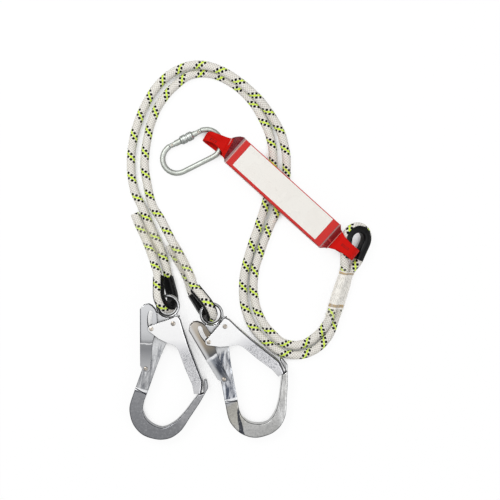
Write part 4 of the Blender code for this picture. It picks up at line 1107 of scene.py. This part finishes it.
def thread_finish(name, base, dark):
    finish = Finish(name)
    fibre = finish.grain(2500, 2)
    return finish.set(Base_Color=finish.mix(fibre, dark, base), Roughness=0.7, Normal=finish.bump(fibre, 0.0001, 0.6))


def film_finish():
    """Clear film: unseen over the label, rosy along its fin, and wine red where it gathers round the loops, with
    painted light and dark folds there, painted highlight lines along its mouths and painted whiter highlights along its
    creases.
    """
    finish, half = Finish("clear_film_sleeve"), PACK_LENGTH / 2
    local = finish.seen_from(PACK)
    along, across, _ = finish.split(local)
    back, crease_and_highlight = 0 - along, finish.grain(130, 4, 0.6)
    front, rear = back.span(half - 1.5, half + 1.5), along.span(half - 1.5, half + 1.5)
    # painted highlight lines along the edges of both mouths and by the front corner
    painted_rim = (back - across * 0.25).span(half + 11.2, half + 11.9).most(along.span(half + 8.0, half + 8.6))
    corner = back.span(half - 3.2, half - 2.2) * back.span(half - 0.6, half - 1.6)
    fin = (0 - across).span(WEB_WIDTH / 2 + 0.3, WEB_WIDTH / 2 + 1.3)
    # painted light and dark folds in the gathered mouths
    painted_fold_light = finish.grain(1.0, 2, where=finish.turned(local, scale=(20, 4, 20))).span(0.5, 0.62)
    colour = finish.over(
        "F3E4E0",
        (fin, finish.mix(finish.grain(300, 2).span(0.35, 0.65), "E07A66", "F0AA98")),
        (front, finish.mix(painted_fold_light * 0.4, "70101C", "A02A35")),
        (rear, finish.mix(painted_fold_light, "8E1418", "C63A3C")),
        ((painted_rim + corner * 0.7).clamped(), "E9AAA2"),
    )
    # painted highlights: the creases show whiter where the film is less clear
    alpha = crease_and_highlight.span(0.6, 0.8) * 0.06 + 0.02
    for share in (fin * 0.8, front * 0.8, rear * 0.6, painted_rim * 0.8, corner * 0.4):
        alpha = alpha.most(share)
    rough, normal = (front + rear).clamped() * 0.3 + 0.22, finish.bump(crease_and_highlight, 0.0003, 0.3)
    return finish.set(Base_Color=colour, Roughness=rough, Alpha=alpha, Normal=normal, Specular_IOR_Level=0.25)


def cover_finish():
    """Clear shrink sleeve, yellowed and a little wrinkled, with its wrinkles painted whiter and less clear as
    highlights.
    """
    finish = Finish("clear_shrink_sleeve")
    crease_and_highlight = finish.grain(160, 4, 0.65)
    # painted highlights: the sleeve is whiter and less clear along its wrinkles
    finish.set(Base_Color=finish.mix(crease_and_highlight, "E9E2C4", "F7F5EA"), Alpha=crease_and_highlight.span(0.45, 0.8) * 0.12 + 0.06)
    finish.set(Roughness=0.14, Specular_IOR_Level=0.6, Coat_Weight=0.5, Coat_Roughness=0.08)
    return finish.set(Normal=finish.bump(crease_and_highlight, 0.0005, 0.5))


def paper_finish():
    finish = Finish("bare_label")
    fibre = finish.grain(700, 4, 0.6)
    colour = finish.over("EAE8E2", (fibre * 0.4, "DCD9D1"), (finish.grain(25, 2) * 0.4, "DAD6CC"))
    return finish.set(Base_Color=colour, Roughness=0.42, Normal=finish.bump(fibre, 0.00008, 0.4))


def banded_paper_finish():
    """The splice's paper: pale, with two gold-brown bands round it and faint broken lines between them."""
    finish = Finish("banded_paper")
    share, around, _ = finish.split(finish.node("UVMap"))
    fibre, flecks = finish.grain(700, 4, 0.6), finish.grain(520, 2).span(0.42, 0.56)
    at = share + finish.grain(300, 2) * 0.02
    bands = at.span(0.03, 0.04) * at.span(0.1, 0.09) + at.span(0.88, 0.89) * at.span(0.97, 0.96)
    lines = (around * 150).cos().span(0.1, 0.7) * at.span(0.14, 0.17) * at.span(0.85, 0.82)
    broken = lines * finish.grain(230, 2).span(0.44, 0.56)
    gold = finish.mix(flecks, "4A3A1C", "B58A2A")
    inked = (bands * (flecks * 0.35 + 0.6)).clamped()
    colour = finish.over("F4F2EE", (fibre * 0.5, "E4E0D8"), (broken * 0.5, "8A8782"), (inked, gold))
    return finish.set(Base_Color=colour, Roughness=0.5, Normal=finish.bump(fibre, 0.00008, 0.4))


def plastic_finish():
    finish = Finish("moulded_black")
    rub, normal = finish.grain(70, 4, 0.6), finish.bump(finish.grain(1500), 0.00006, 0.4)
    colour = finish.mix(rub.span(0.5, 0.8), "040405", "0C0C0E")
    return finish.set(Base_Color=colour, Roughness=rub * 0.25 + 0.3, Normal=normal, Specular_IOR_Level=0.22)


def metal_finish(name, base, dark, rough, spread=0.15, painted_rim=0.0, edge="6A6E68"):
    """Bare or plated metal: cloudy gloss, a fine grain, small pits, a painted dark edge tone where it turns away from
    the top, and painted shade where pieces nearly touch.
    """
    finish = Finish(name)
    cloudy, fine = finish.grain(80, 5, 0.6), finish.grain(900, 3, 0.6)
    # painted reflection and shade: the edge colour where the surface turns away from the top, and near black where
    # pieces nearly touch
    colour = finish.over(
        dark, (cloudy.span(0.35, 0.7), base), (fine.span(0.6, 0.75) * 0.4, dark),
        (finish.tilt().span(0.75, 0.3) * painted_rim, edge), (finish.shelter(0.01).span(0.75, 0.35) * 0.8, "15161A"),
    )
    roughness = rough + (cloudy - 0.5) * spread + (fine - 0.5) * 0.1
    normal = finish.bump(cloudy * 0.6 + fine * 0.25, 0.0002, 0.5)
    return finish.set(Metallic=1.0, Base_Color=colour, Roughness=roughness, Normal=normal)


def forged_finish(side):
    """Forged, tumbled alloy with its light painted in: a painted reflection tone, bright round the eye and duller along
    the big curve, painted reflection streaks, and each hook's own painted reflections.
    """
    finish = Finish(side + "_forged_alloy")
    local = finish.seen_from(HOOKS[side])
    x, y, _ = finish.split(local)
    down = 0 - y
    cloudy, fine, mottle = finish.grain(90, 5, 0.65), finish.grain(1100, 3, 0.6), finish.grain(330, 4, 0.7)
    lean = math.radians(-31.5 if side == "right" else -8.8)
    # painted reflection streaks that run along the spine
    painted_reflection_streak = finish.grain(1.0, 4, 0.6, finish.turned(local, angles=(0, 0, lean), scale=(4.5, 26, 20)))
    spine = down.span(26, 34) * down.span(94, 92)
    if side == "left":
        # painted reflection tone: darker along the big curve, lighter up to the eye
        tone = finish.tones(
            y + x * 0.15 + (cloudy - 0.5) * 14, (-165, "7F8083"), (-135, "86878A"), (-104, "8F9093"), (-98, "9B9C9E"),
            (-70, "B0B1B3"), (-45, "CDCECF"), (-20, "D6D7D8"), (25, "E2E3E4"),
        )
        arm = x.span(-2, 14) * down.span(70, 100) * down.span(150, 132)
        # painted highlight and dark reflection streaks on the spine, and the nose arm painted lighter
        layers = (
            (spine * painted_reflection_streak.span(0.5, 0.62) * 0.7, "EDEEEF"),
            (spine * painted_reflection_streak.span(0.46, 0.36) * 0.6, "70737A"),
            (arm * 0.7, "A6A6A8"),
        )
    else:
        # painted reflection tone: warm greys along the big curve, lighter up to the eye
        tone = finish.tones(
            y + (cloudy - 0.5) * 10, (-165, "A3A3A1"), (-140, "B8B8B6"), (-122, "B2B0A8"), (-100, "A5A39C"),
            (-92, "B9BCC2"), (-45, "C9CACC"), (-20, "D2D3D4"), (25, "DADBDC"),
        )
        # a painted dark reflection streak on the lower left of the body, widening downwards
        dark_reflection_offset = abs(x + 45.4 - (y + 114.7) * 0.366 + (cloudy - 0.5) * 8)
        dark = ((down - 108) * 0.06 + 1.6 - dark_reflection_offset).span(-0.6, 0.6) * down.span(106, 112)
        arm = x.span(-12, 8) * down.span(60, 80)
        # painted dark blue and bright reflection streaks on the spine, the painted dark streak, and the nose arm
        # painted lighter with streaks of reflection
        layers = (
            (spine * painted_reflection_streak.span(0.56, 0.42) * 0.9, "28344A"),
            (spine * painted_reflection_streak.span(0.56, 0.64) * 0.9, "E6EAF0"),
            (dark * 0.92, "1C2230"),
            (arm * 0.8, finish.mix(painted_reflection_streak.span(0.4, 0.6), "B9B9B8", "E4E4E3")),
        )
    # a painted highlight on the step of the forging, with a painted line of shade just below it
    step, there = y + 93.5 + (x + 41) * 0.3, (0 - x).span(10, 16)
    colour = finish.over(
        tone, *layers,
        (abs(step + 1).span(2.4, 1.2) * there * 0.9, "F4F5F6"),
        (abs(step + 4).span(1.6, 0.5) * there * 0.7, "4A4C52"),
        (mottle.span(0.5, 0.66) * 0.3, "6B6C70"),
        (mottle.span(0.48, 0.34) * 0.22, "C9CACB"),
        (fine.span(0.55, 0.75) * 0.35, "6E6F72"),
    )
    roughness = 0.34 + (cloudy - 0.5) * 0.2 + (fine - 0.5) * 0.15
    return finish.metal(colour, 0.6 - y.span(4, 10) * 0.35, roughness, cloudy * 0.5 + fine * 0.3, 0.00025)


def gate_finish(side):
    """Bright zinc on pressed sheet, speckled along the arm, with a painted reflection tone that brightens towards the
    eye.
    """
    finish = Finish(side + "_plated_gate")
    y = finish.split(finish.seen_from(HOOKS[side]))[1]
    cloudy, speck, fine = finish.grain(60, 4, 0.6), finish.grain(800, 3, 0.6), finish.grain(1500, 3, 0.6)
    arm = (0 - y).span(32, 46) * (0 - y).span(92, 84)
    # painted reflection tone: darker down the arm, bright towards the eye
    tone = finish.tones(
        y + (cloudy - 0.5) * 10, (-100, "C2C2C4"), (-84, "D9D9DB"), (-50, "D2D2D4"), (-34, "DFDFE1"),
        (-22, "F6F6F6"), (10, "FAFAFA"),
    )
    colour = finish.over(tone, (arm * speck.span(0.5, 0.58) * 0.75, "85868A"), (fine.span(0.55, 0.8) * 0.25, "A6A7AA"))
    roughness = 0.3 + (cloudy - 0.5) * 0.12 + arm * 0.1
    return finish.metal(colour, 0.75, roughness, cloudy * 0.4 + fine * 0.2 + speck * arm * 0.3)


def lever_finish(side):
    """Plated sheet with painted reflection tones: darker below the step, with a painted highlight along the step."""
    finish = Finish(side + "_plated_lever")
    local = finish.seen_from(HOOKS[side])
    x, y, _ = finish.split(local)
    cloudy, fine = finish.grain(75, 4, 0.6), finish.grain(1300, 3, 0.6)
    wave = y + (cloudy - 0.5) * 5
    if side == "left":
        # painted reflection tone: darker below the step, a painted highlight line along the step, lighter towards the
        # top
        colour = finish.tones(
            wave, (-70, "BBBCBE"), (-52, "A6A7A9"), (-36, "88898C"), (-29.5, "8C8D8F"), (-28.4, "F0F0F1"),
            (-26.6, "8E8F91"), (-22, "BCBDBF"), (-12, "CBCCCE"), (8, "D0D1D3"), (28, "DCDDDF"),
        )
    else:
        # painted reflection tone: dark blue-grey below the step, a painted highlight and a dark line along it, warm
        # browns above
        tone = finish.tones(
            wave, (-70, "8D8F92"), (-52, "43474F"), (-40, "4A4E57"), (-32, "7C8087"), (-30, "E4E5E8"),
            (-27.2, "F2F2F3"), (-26.6, "55565A"), (-20, "77746E"), (-8, "9A8F80"), (6, "AEA393"), (28, "C8C2B9"),
        )
        mirror = finish.grain(1.0, where=finish.turned(local, scale=(3, 14, 10))).span(0.5, 0.56)
        # a painted highlight along the web side, a painted dark patch of reflection on the upper part, and painted
        # mirror patches below the step
        colour = finish.over(
            tone,
            ((0 - x).span(38, 43) * 0.75, "D9DADB"),
            ((x + 33).span(0, 6) * y.span(-24, -8) * 0.5, "55504A"),
            (mirror * (0 - y).span(28, 30) * 0.35, "A9AEB6"),
        )
    colour = finish.mix(fine.span(0.55, 0.8) * 0.3, colour, "7C7D7F")
    return finish.metal(colour, 0.6, 0.28 + (cloudy - 0.5) * 0.15, cloudy * 0.5 + fine * 0.2)


# Studio


def studio():
    """A pale sky, a white floor that darkens only close under the pieces, and two lamps."""
    bpy.context.scene.world = bpy.data.worlds.new("studio")
    sky = Finish("sky", bpy.context.scene.world)
    up = sky.split(sky.node("TexCoord", output="Generated"))[2]
    glow = sky.ramp(
        up.clamped(), (0.0, (0.27, 0.27, 0.28, 1)), (0.4, (0.26, 0.26, 0.27, 1)), (0.66, (0.38, 0.38, 0.4, 1)),
        (0.84, (0.8, 0.8, 0.81, 1)), (1.0, (1.0, 1.0, 1.0, 1)),
    )
    sky.set(Color=sky.mix(sky.node("LightPath", output="Is Camera Ray"), glow, (1, 1, 1, 1)))

    paper = Finish("white_floor").set(Base_Color=(0.98, 0.98, 0.98, 1), Roughness=0.9, Specular_IOR_Level=0.0)
    seen, mirrored, through = (
        paper.node("LightPath", output=f"Is {ray} Ray") for ray in ("Camera", "Glossy", "Transmission")
    )
    lit = (seen + mirrored + through).clamped() * paper.shelter(0.03, 8).span(0.2, 0.5) * 0.93
    light = paper.node("Emission", None, {"Color": (1, 1, 1, 1), "Strength": 1.0})
    blend = paper.node("MixShader", None, [lit, Value(paper, paper.shader.outputs[0]), light])
    paper.fill(paper.tree.nodes["Material Output"].inputs["Surface"], blend)
    deselect()
    bpy.ops.mesh.primitive_plane_add(size=40, location=(0, 0, cad_box[0].z - FLOOR_DROP * MM))
    floor = bpy.context.object
    floor.name = "floor"
    coated(floor, paper)

    aim = Vector((0, 0.05, 0))
    for name, spot, size, power in (("key", (-0.9, 0.9, 1.7), 0.9, 22.0), ("fill", (1.3, -0.6, 1.5), 1.2, 9.0)):
        bpy.ops.object.light_add(type="AREA", location=spot)
        lamp = bpy.context.object
        lamp.name = name
        lamp.data.size = size
        lamp.data.energy = power
        lamp.rotation_euler = (aim - Vector(spot)).to_track_quat("-Z", "Y").to_euler()


def build():
    studio()
    pale_thread = thread_finish("pale_thread", "E9E4D6", "B7B09C")
    dark_thread = thread_finish("dark_thread", "3E100C", "1C0605")
    braided_rope(rope_finish())

    red, edges = webbing_finish(), (-WEB_WIDTH / 2, WEB_WIDTH / 2)
    webbing = strap("folded_tear_webbing", folded_path(), lambda x, share: edges, WEB_THICKNESS, PACK, 0.05)
    dress(webbing, red, "absorber", "tear_webbing")
    for label in LOOPS:
        end_loop(label, red, dark_thread)
    film_cover(film_finish())
    label_sheet(paper_finish())

    clear = cover_finish()
    left = mouth_lines("left", [LEFT_LEG[-1], *LEFT_STANDING], LEFT_TAIL[::-1])
    right = mouth_lines("right", [RIGHT_LEG[-1], *RIGHT_STANDING], RIGHT_TAIL[::-1], -1)
    pair = mouth_lines("absorber", PAIR_RIGHT[::-1], PAIR_LEFT)
    splice("left", left, (27, 84), (34, 78), clear, pale_thread)
    splice("right", right, (10, 67), (26, 62), clear, pale_thread)
    splice("absorber", pair, (15, 84), (26, 78), clear, pale_thread, 3 * GAP + 0.3)
    wrap = sleeve_over("splice_label_wrap", pair, (18, 73, 24), 2 * GAP - 0.1, 0.2, 5, 0.05)
    dress(wrap, banded_paper_finish(), "rope_set", "splice_label", angle=60)

    black = plastic_finish()
    for side in THIMBLES:
        thimble(side, black)

    # the sixth value of each metal sets how strongly a painted dark edge shows where it turns from the top, and the
    # seventh is that edge's colour
    looks = {
        "rivet": metal_finish("headed_steel", "CFC8BE", "9C948A", 0.36, 0.15, 0.9, "3E3832"),
        "wire": metal_finish("drawn_wire", "A8A8A8", "7C7C7C", 0.3),
        "steel": metal_finish("plated_bar", "CDD1CB", "B7BBB4", 0.55, 0.1, 0.75),
        "sleeve": metal_finish("turned_steel", "C6CAC6", "AEB3AF", 0.5, 0.1, 0.6, "555A58"),
    }
    for side in HOOKS:
        hook(side, looks)
    carabiner(looks)


build()
